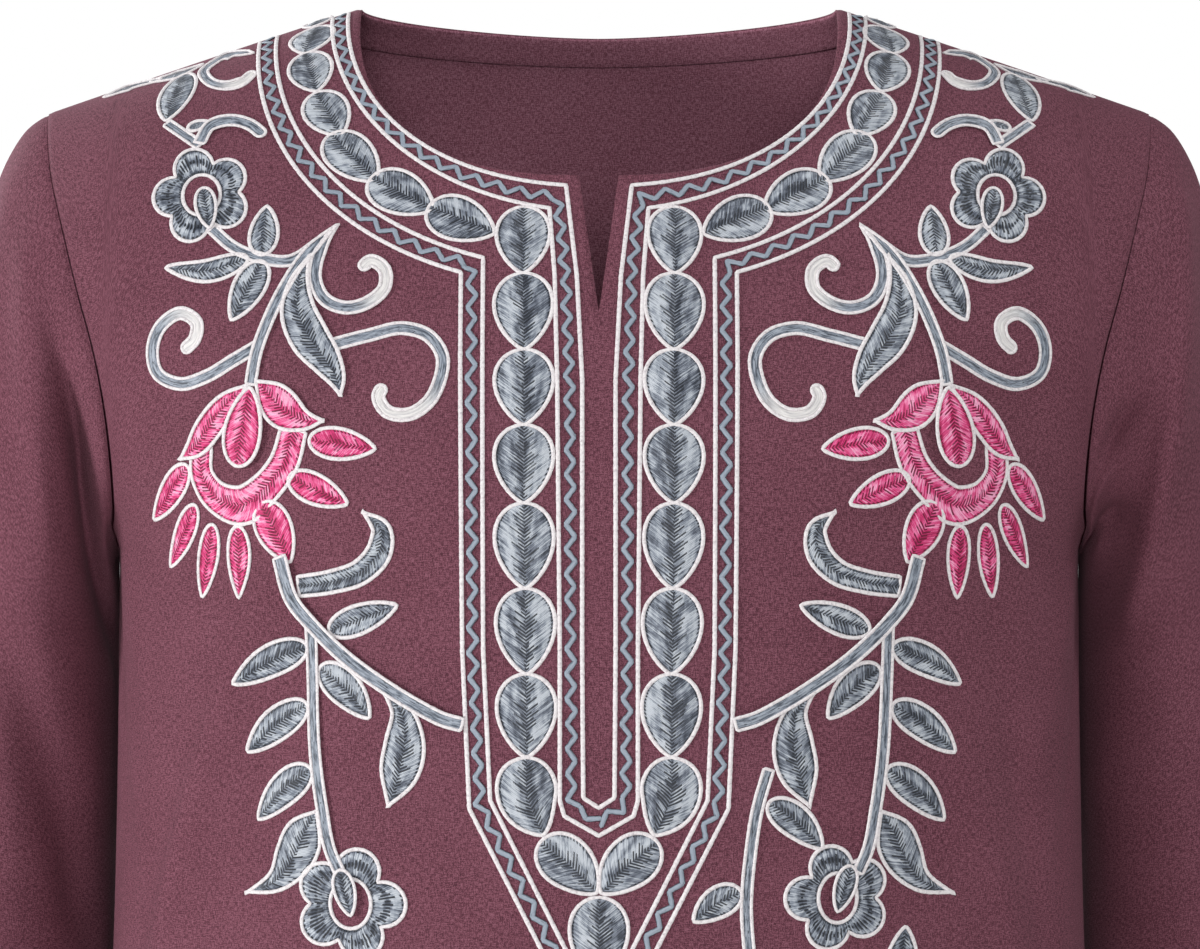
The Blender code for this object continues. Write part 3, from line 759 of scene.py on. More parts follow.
def laid_flat(front, points):
    """Where points of a panel lie on the flat cloth, across from its centre line and up from the hem."""
    x, z = np.arange(0, FLAT_REACH, FLAT_STEP), np.arange(HEM - FLAT_MARGIN, FLAT_MARGIN, FLAT_STEP)
    wide, tall = np.meshgrid(x, z, indexing="ij")
    surface = on_body(front, 1, wide, tall, angle_at(wide, tall))
    over, up = run_lengths(surface, 0), run_lengths(surface, 1)
    at_x = np.clip(np.abs(points[..., 0]) / FLAT_STEP, 0, len(x) - 2)
    at_z = np.clip((points[..., 2] - z[0]) / FLAT_STEP, 0, len(z) - 2)
    i, j = at_x.astype(int), at_z.astype(int)
    u, v = at_x - i, at_z - j
    corners = [
        (i, j, (1 - u) * (1 - v)),
        (i + 1, j, u * (1 - v)),
        (i, j + 1, (1 - u) * v),
        (i + 1, j + 1, u * v),
    ]
    return [sum(lengths[a, b] * weight for a, b, weight in corners) for lengths in (over, up)]


def share_normals(halves, meeting):
    """Gives both halves the same normals on the line where they meet."""
    centre = unit(halves[0][2][meeting] + halves[1][2][meeting])
    for _, _, normals in halves:
        normals[meeting] = centre


def panel_shell(name, front, down, across, solid):
    apart = BACKWARDS * SEAM_GAP / 2 * (-1 if front else 1)
    edge_end = SLIT_END if front else NECK_SHARE
    open_rows = int(np.argmin(abs(down - edge_end)))
    halves = []
    for side in (-1, 1):
        points = panel(front, side, down, across) + apart
        halves.append((side, points, grid_normals(points, -BACKWARDS if front else BACKWARDS)))
    share_normals(halves, (slice(open_rows, None), 0))
    piece = Sewn("cloth")
    for side, points, normals in halves:
        over, under = run_lengths(points, 1), run_lengths(points, 0)
        from_neck = np.where(np.arange(len(down))[:, None] <= open_rows, over, 1.0)
        dip = turned_in(from_neck, over[:, -1:] - over, under, under[-1:] - under)
        flat_over, flat_up = laid_flat(front, points)
        cloth = np.stack([side * flat_over, flat_up], axis=-1)
        add_wall(piece, points, normals, dip, cloth, open_rows=open_rows)
    made = piece.make(name, plum_cotton, "plum_cloth", weld=True, wrong_side=cotton_wrong_side_painted_light)
    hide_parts(solid)
    return made


front_cloth = panel_shell("front_cloth", True, FRONT_DOWN, FRONT_ACROSS, "front_panel")
back_cloth = panel_shell("back_cloth", False, BACK_DOWN, BACK_ACROSS, "back_panel")

# %% [markdown]
# ### The sleeves
# A sleeve is one piece of cloth sewn into a tube, with its cap eased into the armhole. Its rings start on
# the armhole's own points, a seam's gap away, so the two edges meet all the way round.

# %% Sleeves
RING_PLACES = stepped(0, (1, 52))
MIDDLE_GIRTH = 0.30
SLEEVE_ALONG = stepped(0, (0.0016, 2), (0.0036, 2), (0.996, 170), (1, 5))


def sleeve_shell(name, side, solid):
    points = sleeve(side, RING_PLACES, SLEEVE_ALONG)
    normals = grid_normals(points, points - points.mean(axis=1, keepdims=True), closed=True)
    away = unit(np.cross(around(points[0], 0), normals[0]))
    away = away * np.sign(away[:, :1]) * side
    fade = eased(SLEEVE_ALONG / SLEEVE_HEAD_END)[:, None, None]
    points = points + SEAM_GAP * mixed(away, np.array([side, 0, 0]), fade)
    down = run_lengths(points, 0)
    dip = turned_in(down, down[-1:] - down)
    round_it = np.linspace(0, MIDDLE_GIRTH, points.shape[1] + 1)
    cloth = np.stack(np.broadcast_arrays(round_it[None, :], down[:, :1]), axis=-1)
    piece = Sewn("cloth")
    add_wall(piece, points, normals, dip, cloth, round_columns=True)
    made = piece.make(name, plum_cotton, "plum_cloth", weld=True, wrong_side=cotton_wrong_side_painted_light)
    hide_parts(solid)
    return made


left_sleeve_cloth = sleeve_shell("left_sleeve_cloth", 1, "left_sleeve")
right_sleeve_cloth = sleeve_shell("right_sleeve_cloth", -1, "right_sleeve")

# %% [markdown]
# ### The facing inside the back neck
# The raw neck edge is turned under a narrow bias strip, stitched along its lower edge. It lies on the
# inside of the back panel, so its grid is the back's own surface moved in by the cloth's thickness.

# %% Back neck facing
FACING_GAP = 0.0004
FACING_THICKNESS = 0.0008
FACING_T = stepped(0, (0.02, 3), (1, 60))
FACING_ACROSS = stepped(0, (0.08, 2), (0.9, 8), (1, 3))


def facing_places(t, across):
    """Half-width and height on the strip of the back panel along its neck edge."""
    x, z = neckline(False, t)
    below = shoulder_line(x) - z
    along_x, along_down = np.gradient(x, t), np.gradient(below, t)
    size = np.hypot(along_x, along_down)
    out = np.asarray(across)[None, :] * FACING_WIDTH
    wide_x = x[:, None] + out * (along_down / size)[:, None]
    wide_below = below[:, None] - out * (along_x / size)[:, None]
    wide_below[0] = 0.0
    wide_x[-1] = 0.0
    return wide_x, shoulder_line(wide_x) - wide_below


def facing_shell():
    x, z = facing_places(FACING_T, FACING_ACROSS)
    piece = Sewn("cloth")
    halves = []
    for side in (-1, 1):
        points = on_body(False, side, x, z, angle_at(x, z)) + BACKWARDS * SEAM_GAP / 2
        halves.append((side, points, grid_normals(points, BACKWARDS)))
    share_normals(halves, -1)
    for side, points, normals in halves:
        over = run_lengths(points, 1)
        dip = turned_in(over, over[:, -1:] - over) / 2
        under = points - normals * (CLOTH_THICKNESS + FACING_GAP)
        upper = under - normals * (FACING_THICKNESS - dip)[..., None]
        cloth = np.stack([side * points[..., 0], over], axis=-1)
        piece.add(under, cloth=cloth)
        piece.add(upper, cloth=cloth)
        for edge in ((slice(None), 0), (slice(None), -1), (0, slice(None))):
            add_rim(piece, under[edge], upper[edge], cloth[edge])
    made = piece.make("back_neck_facing_cloth", facing_cotton_painted_light, "facing_cloth", weld=True)
    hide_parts("back_neck_facing")
    return made


facing_cloth = facing_shell()

# %% [markdown]
# ## Where the embroidery lies
# An embroiderer marks the pattern on flat cloth. Here it is marked as it looks from the front: every
# point is a half-width and a height in millimetres, and on_front lifts it onto the cloth. The two sides
# mirror each other, so most of it is written once, with x as the distance from the centre line.

# %% From a flat mark to a place on the cloth
MARK_STEP = 0.0005
LINE_POINTS = 60
BENT_LINE_POINTS = 34


def on_front(marks):
    """Marks on the front, seen from the front in metres, as places on the cloth."""
    x, z = marks[..., 0], marks[..., 1]
    half = np.abs(x)
    surface = on_body(True, np.where(x < 0, -1.0, 1.0), half, z, angle_at(half, z))
    return surface - BACKWARDS * SEAM_GAP / 2


def cloth_slopes(marks):
    """How the place on the cloth changes with half-width and with height."""
    over, up = np.array([MARK_STEP, 0.0]), np.array([0.0, MARK_STEP])
    by_x = (on_front(marks + over) - on_front(marks - over)) / (2 * MARK_STEP)
    by_z = (on_front(marks + up) - on_front(marks - up)) / (2 * MARK_STEP)
    return by_x, by_z


def on_cloth(marks):
    """Places on the cloth and its normals there."""
    return on_front(marks), unit(np.cross(*cloth_slopes(marks)))


def sideways(line):
    """The direction that crosses a line of marks squarely on the cloth, as it looks from the front."""
    ahead = np.gradient(line, axis=0)
    by_x, by_z = cloth_slopes(line)
    run = by_x * ahead[:, :1] + by_z * ahead[:, 1:]
    return unit(np.stack([-np.sum(by_z * run, axis=-1), np.sum(by_x * run, axis=-1)], axis=-1))


def line_through(marks, count=LINE_POINTS):
    """A smooth line through marks given in millimetres. Its points crowd towards both ends."""
    marks = np.array(marks, float) / 1000
    reach = run_lengths(marks, 0)
    places = reach[-1] * (1 - np.cos(math.pi * np.linspace(0, 1, count))) / 2
    return np.stack([smooth(reach, marks[:, 0], places), smooth(reach, marks[:, 1], places)], axis=-1)


def bent_line(base, tip, bow):
    """A line from base to tip that bends to one side by a share of its length."""
    base, tip = np.array(base), np.array(tip)
    run = tip - base
    crown = (base + tip) / 2 + bow * np.array([-run[1], run[0]])
    return line_through([base, crown, tip] if bow else [base, tip], BENT_LINE_POINTS)


def share_along(line):
    """How far along its line each mark is, from 0 to 1."""
    reach = run_lengths(line, 0)
    return reach / reach[-1]


test_mark = np.array([0.1, -0.2])
print("a mark 100 mm out and 200 mm down lies at, mm:", np.round(1000 * on_front(test_mark), 1))

# %% [markdown]
# ## Couched white cord
# Every motif is edged with a flat white cord about 1.5 mm wide. Couching lays a cord on the cloth and
# ties it down with small stitches over it, so it stands up, wavers a little and is pinched where each
# stitch crosses it. A curve with a bevel could give a round tube. Rings of points give a flattened one
# that tips with the cloth and carries the pinches. Work that lies over other work is lifted by a layer.

# %% Lay a cord
CordSize = namedtuple("CordSize", "half_width half_height step sides")
LINE_CORD = CordSize(0.00082, 0.00043, 0.0009, 8)
EDGE_CORD = CordSize(0.00074, 0.00045, 0.0010, 8)
STEM_CORD = CordSize(0.00062, 0.00042, 0.0010, 8)
CORD_LIFT = 0.00030
COUCHING_SPACING = 0.0031
COUCHING_PINCH = 0.05
WAVER = 0.06
LAYER = 0.0007
chance = np.random.default_rng(7)


def cord_tube(piece, centre, normal, size, closed=False):
    """A flattened cord round a row of places. Its map holds how far along and round each point is."""
    ahead = around(centre, 0) if closed else np.gradient(centre, axis=0)
    across = np.cross(unit(ahead), normal)
    places = run_lengths(np.concatenate([centre, centre[:1]]) if closed else centre, 0)
    along = places[:len(centre)]
    start = chance.uniform(0, 2 * math.pi)
    pinch = 1 + COUCHING_PINCH * np.sin(2 * math.pi * along / COUCHING_SPACING + start)
    pinch = pinch + chance.uniform(-WAVER, WAVER, len(centre))
    if not closed:
        from_end = np.minimum(along, along[-1] - along) / size.half_width
        pinch = pinch * np.sqrt(np.clip(1 - (1 - np.clip(from_end, 0.02, 1)) ** 2, 0, 1))
    turn = 2 * math.pi * np.arange(size.sides) / size.sides
    wide = across[:, None] * (size.half_width * pinch[:, None] * np.cos(turn))[..., None]
    tall = normal[:, None] * (size.half_height * pinch[:, None] * np.sin(turn) + CORD_LIFT)[..., None]
    round_shares = np.arange(size.sides + 1) / size.sides
    lengthways, round_it = np.meshgrid(places * 1000, round_shares, indexing="ij")
    thread = np.stack([lengthways + 1000 * start, round_it], axis=-1)
    piece.add(centre[:, None] + wide + tall, round_rows=closed, round_columns=True, thread=thread)


def read_at(places, reach, rows):
    """Rows of values, read straight between the two nearest."""
    return np.stack([np.interp(places, reach, column) for column in rows.T], axis=-1)


def laid_line(marks, step, closed):
    """Marks at even steps along a line on the cloth, and how far along each one is."""
    if closed:
        marks = np.concatenate([marks, marks[:1]])
    reach = run_lengths(on_front(marks), 0)
    count = max(6, round(reach[-1] / step))
    places = np.linspace(0, reach[-1], count + 1)
    return read_at(places, reach, marks), places


def lay_cord(piece, marks, size=LINE_CORD, closed=False, layer=0):
    """A cord along a line of marks."""
    even, _ = laid_line(marks, size.step, closed)
    centre, normal = on_cloth(even[:-1] if closed else even)
    cord_tube(piece, centre + normal * LAYER * layer, normal, size, closed)


print("cord width, mm:", 2000 * LINE_CORD.half_width)

# %% White cord, matt and twisted
TIE_SPACING = 6.2


def twisted_cord(name, hollow_shade, body, light, twist_length):
    """A twisted cotton cord: slanting strands, pale and matt, with the hollows between strands painted
    greyer as painted shade, and small darker marks at the ties.
    """
    material, tree = start_material(name, {
        "Roughness": 0.62,
        "IOR": 1.47,
        "Specular IOR Level": 0.35,
        "Sheen Weight": 0.10,
        "Sheen Roughness": 0.4,
    })
    along, round_it = map_parts(tree, "thread")
    turns = maths(tree, "DIVIDE", along, twist_length)
    slant = maths(tree, "ADD", turns, maths(tree, "MULTIPLY", round_it, 2.0))
    strand = maths(tree, "SINE", maths(tree, "MULTIPLY", slant, 2 * math.pi))
    fluff = noise(tree, stretched(tree, "thread", 0.8, 3.0, 1), 1.0, 3.0, 0.6)
    shade = maths(tree, "ADD", maths(tree, "MULTIPLY", strand, 0.025), fluff)
    tie = maths(tree, "LESS_THAN", maths(tree, "PINGPONG", along, TIE_SPACING / 2), 0.16)
    tied = maths(tree, "MULTIPLY", tie, maths(tree, "GREATER_THAN", fluff, 0.52))
    shade = maths(tree, "SUBTRACT", shade, maths(tree, "MULTIPLY", tied, 0.18))
    # The low end of the ramp is painted shade for the hollows between strands.
    colour = ramp(tree, shade, (0.20, hollow_shade), (0.46, body), (0.75, light))
    return finish_material(material, colour, shade)


# The first colour is the painted shade of the cord's hollows.
white_cord = twisted_cord("couched_cotton_cord", "#b1a8ad", "#e3dddf", "#f4f1f1", 1.6)
print("cord material:", white_cord.name)

# %% [markdown]
# ### The lines round the neck
# Four cords run from one shoulder seam round the neckline and down both sides of the slit to a point
# below it. Round the neck each is a quarter of an oval on both sides. Below the corner it is straight
# runs.

# %% Neck lines
NeckLine = namedtuple("NeckLine", "name half_width drop power corner_x tail")
NECK_LINES = [
    NeckLine("inner_edge", 94.5, 70.5, 2.20, 12, [
        (8, -105), (6, -143), (6, -240), (5.6, -293), (4, -294), (0, -296.6),
    ]),
    NeckLine("inner_border", 100.5, 78.0, 2.00, 18, [
        (16, -105), (15, -143), (14, -240), (14, -294), (12.4, -299.5), (0, -306.6),
    ]),
    NeckLine("outer_border", 121.5, 93.0, 2.10, 42, [
        (42, -136), (41.5, -240), (39, -294), (12, -347.5), (0, -372),
    ]),
    NeckLine("outer_edge", 128.0, 97.5, 2.15, 50, [
        (50, -136), (49, -240), (46.5, -297), (21, -347), (0, -387),
    ]),
]
SEAM_MARGIN = 0.0012


def neck_path(line):
    """One side of a neck line, from the shoulder seam to the point below the slit."""
    wide, drop, corner = line.half_width / 1000, line.drop / 1000, line.corner_x / 1000
    end = math.acos((corner / wide) ** (line.power / 2))
    turn = end * stepped(0, (1, 90))
    x = wide * np.cos(turn) ** (2 / line.power)
    z = shoulder_line(wide) - drop * np.sin(turn) ** (2 / line.power)
    z = np.minimum(z, shoulder_line(x) - SEAM_MARGIN)
    return np.concatenate([np.stack([x, z], axis=-1), np.array(line.tail) / 1000])


def mirrored(marks, side):
    """The same marks on one side or the other: 1 is the wearer's left."""
    return marks * np.array([side, 1.0])


neck_cords = Sewn("thread")
for line in NECK_LINES:
    path = neck_path(line)
    lay_cord(neck_cords, np.concatenate([path, mirrored(path, -1)[-2::-1]]))
neck_cords.make("neck_line_cords", white_cord, "white_cord")

# %% [markdown]
# ### Zigzag stitches
# Between the lines of each border runs a zigzag in grey-blue thread, one stitch for each leg.

# %% Zigzag thread
ZIGZAG_LEG = 0.0045
ZIGZAG_REACH = 0.0017
ZIGZAG_BAR = CordSize(0.00105, 0.00040, 0.0008, 8)
BAR_OVERLAP = 0.12


def rayon(name, roughness, gloss):
    """A material started with the constants of rayon: glossy, with hardly any nap."""
    constants = {"Roughness": roughness, "IOR": 1.53, "Specular IOR Level": gloss, "Sheen Weight": 0.05}
    return start_material(name, constants)


def laid_thread(name, dark, middle, light):
    """A stranded rayon thread: its top is painted pale and its sides, where it dips to the cloth, dark, as
    a painted highlight and painted shade.
    """
    material, tree = rayon(name, 0.42, 0.5)
    _, round_it = map_parts(tree, "thread")
    # The thread's top is painted pale and its sides dark: painted highlight and shade.
    crown = maths(tree, "SINE", maths(tree, "MULTIPLY", round_it, 2 * math.pi))
    strands = noise(tree, stretched(tree, "thread", 0.35, 9.0, 1), 1.0, 2.0, 0.6)
    shade = maths(tree, "SUBTRACT", weighted(tree, (crown, 0.60), (strands, 1.0)), 0.12)
    colour = ramp(tree, shade, (0.30, dark), (0.60, middle), (0.86, light))
    return finish_material(material, colour, strands)


# Its darkest colour is painted shade at the sides, its palest a painted highlight on top.
zigzag_thread = laid_thread("zigzag_rayon_thread", "#161b23", "#4f5965", "#929dab")
zigzags = Sewn("thread")
for inner, outer in (NECK_LINES[:2], NECK_LINES[2:]):
    halfway = [((a + c) / 2, (b + d) / 2) for (a, b), (c, d) in zip(inner.tail, outer.tail)]
    sizes = [(a + b) / 2 for a, b in zip(inner[1:5], outer[1:5])]
    path = neck_path(NeckLine("zigzag", *sizes, halfway))
    for side in (-1, 1):
        even, _ = laid_line(mirrored(path, side), ZIGZAG_LEG, False)
        swing = ZIGZAG_REACH * (1 - 2 * (np.arange(len(even)) % 2)) * chance.uniform(0.85, 1.1, len(even))
        corners = even + sideways(even) * swing[:, None]
        for a, b in zip(corners[:-1], corners[1:]):
            leg = np.linspace(-BAR_OVERLAP, 1 + BAR_OVERLAP, 7)[:, None]
            lay_cord(zigzags, a + leg * (b - a), ZIGZAG_BAR)
zigzags.make("zigzag_stitches", zigzag_thread, "grey_thread")

# %% [markdown]
# ## Satin stitch
# Leaves, drops and petals are filled with satin stitch: rayon threads laid side by side from the edge to
# a vein down the middle, over a little padding. Each fill is a grid that crosses its motif from edge to
# edge and swells between them. One map says where a point lies across the threads and along them, so the
# streaks follow the stitches. Another says how far it is from the vein and how wide the motif is there. A
# third holds how pale the thread is, with one side of the vein painted paler as a painted sheen, and a
# number that makes each motif differ.

# %% Fill a motif
PAD_HEIGHT = 0.0012
PAD_SINK = 0.00015
PAD_ROUNDNESS = 2.5
FULL_PAD_HALF_WIDTH = 0.0075
STITCH_SLANT = 0.75
# Shifts in millimetres, so that a motif's second side, and a stem, don't repeat the first side's pattern.
SIDE_SHIFT = 40
BAND_SHIFT = 20
SEEDS = 900
Motif = namedtuple("Motif", "base tip width bow", defaults=[0.0])


def fill_motif(piece, line, half, tones, columns=12, layer=0, along_threads=False):
    """Fills a motif along its centre line. tones are how pale it is on its two sides of the vein, and
    where they differ the paler side is a painted sheen. The two sides are separate grids, so that their
    stitches can differ."""
    share = np.linspace(-1, 1, columns + 1)
    marks = line[:, None] + share[None, :, None] * (half[:, None] * sideways(line))[:, None]
    place, normal = on_cloth(marks)
    fullness = np.sqrt(np.clip(half / FULL_PAD_HALF_WIDTH, 0, 1))[:, None]
    swell = fullness * (1 - np.abs(share) ** PAD_ROUNDNESS)
    points = place + normal * (PAD_HEIGHT * swell - PAD_SINK + LAYER * layer)[..., None]
    along = 1000 * run_lengths(place[:, columns // 2], 0)[:, None] + 0 * share
    across = 1000 * half[:, None] * share
    if along_threads:
        stitch = np.stack([along, across + BAND_SHIFT], axis=-1)
    else:
        stitch = np.stack([along + STITCH_SLANT * np.abs(across), np.abs(across)], axis=-1)
    vein = np.stack([np.abs(across), 1000 * half[:, None] + 0 * share], axis=-1)
    pale = mixed(tones[0], tones[1], eased(share[None, :] * 3 + 0.5)) + 0 * along
    look = np.stack([pale, np.full_like(pale, chance.integers(1, SEEDS))], axis=-1)
    middle = columns // 2
    second_shift = 0 if along_threads else SIDE_SHIFT
    for part, shift in ((slice(middle + 1), 0), (slice(middle, None), second_shift)):
        stitched = stitch[:, part] + [shift, 0]
        piece.add(points[:, part], stitch=stitched, vein=vein[:, part], look=look[:, part])


def edge_cord(piece, line, half, size=EDGE_CORD, layer=0):
    """A cord round a whole motif."""
    out = sideways(line) * half[:, None]
    lay_cord(piece, np.concatenate([line + out, (line - out)[::-1]]), size, closed=True, layer=layer)


def swelling(line, width, rise, fall):
    """Half-widths inside the cord, from a rounded end to the widest place and on to the tip."""
    t = share_along(line)
    widest = rise / (rise + fall)
    peak = widest**rise * (1 - widest) ** fall
    inside = width / 2000 - EDGE_CORD.half_width
    return inside * np.clip(t, 0, 1) ** rise * np.clip(1 - t, 0, 1) ** fall / peak


def sew_motif(motif, side, ends, tones, fills, cords, columns=12, size=EDGE_CORD, layer=0):
    """The satin stitch of a drop, leaf or petal, and the cord round it. ends are its rise and fall."""
    line = mirrored(bent_line(motif.base, motif.tip, motif.bow), side)
    half = swelling(line, motif.width, *ends)
    fill_motif(fills, line, half, tones, columns, layer)
    edge_cord(cords, line, half, size, layer)


print("a pad stands this high, mm:", 1000 * PAD_HEIGHT)

# %% Rayon satin, in grey and in pink
STITCH_WIDTH = 0.65
SLIT_SPACING = 1.30


def chance_for(tree, number, seed):
    """A random value between 0 and 1 for each whole number, different for each motif."""
    key = maths(tree, "ADD", maths(tree, "FLOOR", number), seed)
    return add(tree, "TexWhiteNoise", {"W": key}, noise_dimensions="1D").outputs["Value"]


def faded(tree, value, start, end):
    """1 up to start, falling softly to 0 at end."""
    inputs = {"Value": value, "From Min": start, "From Max": end, "To Min": 1.0, "To Max": 0.0}
    return add(tree, "MapRange", inputs, interpolation_type="SMOOTHSTEP").outputs[0]


def drawn_out(tree, along, across, seed, detail, roughness=0.5):
    """Noise drawn out along the threads. along and across are each a value and its scale."""
    place = {"X": maths(tree, "MULTIPLY", *along), "Y": maths(tree, "MULTIPLY", *across), "Z": seed}
    return noise(tree, add(tree, "CombineXYZ", place).outputs[0], 1.0, detail, roughness)


def rayon_satin(name, hole, dark, middle, light, highest, gloss):
    """Filament rayon laid in satin stitch. Each stitch catches the light a little differently. They leave
    slits where they meet at the vein, and pin holes here and there just inside the edge, both painted in
    the dark hole colour as painted shade. The fill is also painted darker near the vein, just inside the
    edge and in the grooves between stitches: painted shade. Real threads are 0.4 mm apart, and are drawn
    at 0.65 mm so that they show."""
    material, tree = rayon(name, 0.46, gloss)
    along, across = map_parts(tree, "stitch")
    from_vein, half = map_parts(tree, "vein")
    pale, seed = map_parts(tree, "look")
    stitches = maths(tree, "DIVIDE", along, STITCH_WIDTH)
    each = chance_for(tree, stitches, seed)
    groove = faded(tree, maths(tree, "PINGPONG", stitches, 0.5), 0.0, 0.22)
    streak = drawn_out(tree, (along, 1.9), (across, 0.20), seed, 3.0, 0.65)
    patch = drawn_out(tree, (along, 0.15), (across, 0.30), seed, 2.0)
    near = faded(tree, maths(tree, "DIVIDE", from_vein, half), 0.0, 0.38)
    into = maths(tree, "SUBTRACT", half, from_vein)
    edge = faded(tree, into, 0.3, 1.9)
    shade = pale
    # The last three parts are painted shade near the vein, inside the edge and between stitches.
    parts = [
        (each, 0.5, 0.46),
        (streak, 0.5, 2.1),
        (patch, 0.5, 1.8),
        (near, 0.25, -0.24),
        (edge, 0.2, -0.46),
        (groove, 0.3, -0.18),
    ]
    for value, usual, amount in parts:
        part = maths(tree, "MULTIPLY", maths(tree, "SUBTRACT", value, usual), amount)
        shade = maths(tree, "ADD", shade, part)
    fill = ramp(tree, shade, (0.05, dark), (0.40, middle), (0.68, light), (1.0, highest))
    # Slits at the vein and pin holes inside the edge, painted in the dark hole colour as painted shade.
    rows = maths(tree, "DIVIDE", along, SLIT_SPACING)
    slit = maths(tree, "LESS_THAN", maths(tree, "FRACT", rows), 0.50)
    reach = maths(tree, "MULTIPLY", chance_for(tree, rows, seed), maths(tree, "MULTIPLY", half, 0.50))
    at_vein = maths(tree, "LESS_THAN", from_vein, maths(tree, "ADD", reach, 0.28))
    other = chance_for(tree, rows, maths(tree, "ADD", seed, 0.37))
    sparse = maths(tree, "GREATER_THAN", other, 0.28)
    at_edge = maths(tree, "MULTIPLY", sparse, maths(tree, "COMPARE", into, 1.05, 0.42))
    dark_place = maths(tree, "MULTIPLY", slit, maths(tree, "MAXIMUM", at_vein, at_edge))
    wide_enough = maths(tree, "SUBTRACT", 1.0, faded(tree, half, 1.0, 2.4))
    dark_place = maths(tree, "MULTIPLY", dark_place, maths(tree, "MULTIPLY", wide_enough, 0.95))
    height = maths(tree, "SUBTRACT", maths(tree, "MULTIPLY", streak, 0.6), dark_place)
    height = maths(tree, "SUBTRACT", height, maths(tree, "MULTIPLY", groove, 0.35))
    return finish_material(material, blended(tree, dark_place, fill, linear(hole)), height, 0.6, 0.0005)


# Each first colour is the painted shade in the slits and pin holes.
grey_satin = rayon_satin("grey_rayon_satin", "#191c24", "#343a46", "#686f7d", "#979fab", "#c4cad2", 0.42)
pink_satin = rayon_satin("pink_rayon_satin", "#6a0f30", "#a81f56", "#dc3c79", "#ee6aa1", "#fbb0d0", 0.25)
print("satin materials:", grey_satin.name, pink_satin.name)

# %% Laid thread for stems
def laid_band(name, hole, dark, middle, light, white):
    """Rayon threads laid along a stem and tied down: long soft streaks, and short gaps painted dark as
    painted shade. look holds how far the grey thread has given way to white."""
    material, tree = rayon(name, 0.48, 0.42)
    along, across = map_parts(tree, "stitch")
    whiteness, seed = map_parts(tree, "look")
    strands = drawn_out(tree, (along, 0.16), (across, 1.5), seed, 3.0, 0.6)
    # The gaps between laid threads are painted in the dark hole colour: painted shade.
    gaps = drawn_out(tree, (along, 0.55), (across, 2.2), seed, 1.0)
    gap = maths(tree, "MULTIPLY", maths(tree, "GREATER_THAN", gaps, 0.66), 0.8)
    fill = ramp(tree, strands, (0.36, dark), (0.47, middle), (0.58, light), (0.74, light))
    pale = ramp(tree, strands, (0.30, "#b9b6ba"), (0.50, white), (0.70, "#f4f1ee"))
    grey = blended(tree, gap, fill, linear(hole))
    return finish_material(material, blended(tree, whiteness, grey, pale), strands, 0.5, 0.0005)


# The first colour is the painted shade in the gaps.
stem_thread = laid_band("laid_rayon_thread", "#1d2028", "#3b424d", "#737b88", "#a0a8b4", "#dcd9d8")
print("stem material:", stem_thread.name)

# %% [markdown]
# ### The chain of drops
# A chain of drops, tip to round end, fills the border on each side and meets in a pair over a last drop.

# %% Drops
DROPS = [
    Motif((104.5, -4.5), (109.0, -8.6), 12.0),
    Motif((106.0, -8.6), (110.0, -19.8), 18.0),
    Motif((109.5, -19.7), (104.5, -35.0), 18.0),
    Motif((105.0, -35.8), (95.0, -52.2), 18.0),
    Motif((99.0, -52.0), (81.5, -69.5), 18.0),
    Motif((83.5, -68.6), (60.5, -80.6), 18.0),
    Motif((62.0, -79.5), (38.0, -89.5), 18.0),
    Motif((27.5, -79.7), (27.5, -104.2), 21.0),
    Motif((27.5, -104.2), (27.0, -132.0), 22.8),
    Motif((27.0, -132.0), (27.0, -159.2), 22.8),
    Motif((27.0, -159.2), (27.0, -187.3), 22.8),
    Motif((27.0, -187.3), (26.5, -217.9), 22.8),
    Motif((26.5, -217.9), (26.0, -248.6), 22.8),
    Motif((26.0, -248.6), (26.0, -278.4), 22.8),
    Motif((26.0, -278.6), (20.0, -306.4), 22.8, 0.09),
    Motif((21.0, -309.0), (0.8, -327.2), 19.5, -0.04),
]
CENTRE_DROP = Motif((0.0, -328.8), (0.0, -358.5), 22.6)
DROP_ENDS = 0.50, 0.76

chain_cords = Sewn("thread")
chain_fills = Sewn("stitch", "vein", "look")
for drop in DROPS + [CENTRE_DROP]:
    for side in (1,) if drop is CENTRE_DROP else (-1, 1):
        # The tilt paints one side of each drop's vein paler: a painted sheen.
        painted_sheen_tilt = chance.choice([-1, 1]) * chance.uniform(0.08, 0.19)
        middle = chance.uniform(0.44, 0.54)
        sew_motif(drop, side, DROP_ENDS, (middle - painted_sheen_tilt, middle + painted_sheen_tilt), chain_fills, chain_cords)
chain_cords.make("chain_cords", white_cord, "white_cord")
chain_fills.make("chain_satin", grey_satin, "grey_thread")

# %% [markdown]
# ### The sprays
# On each side a spray of stems, scrolls, leaves and flowers climbs from below to the shoulder. A stem is
# a band of laid grey thread between two cords. A scroll is a stem whose end is round and turns to white
# thread.

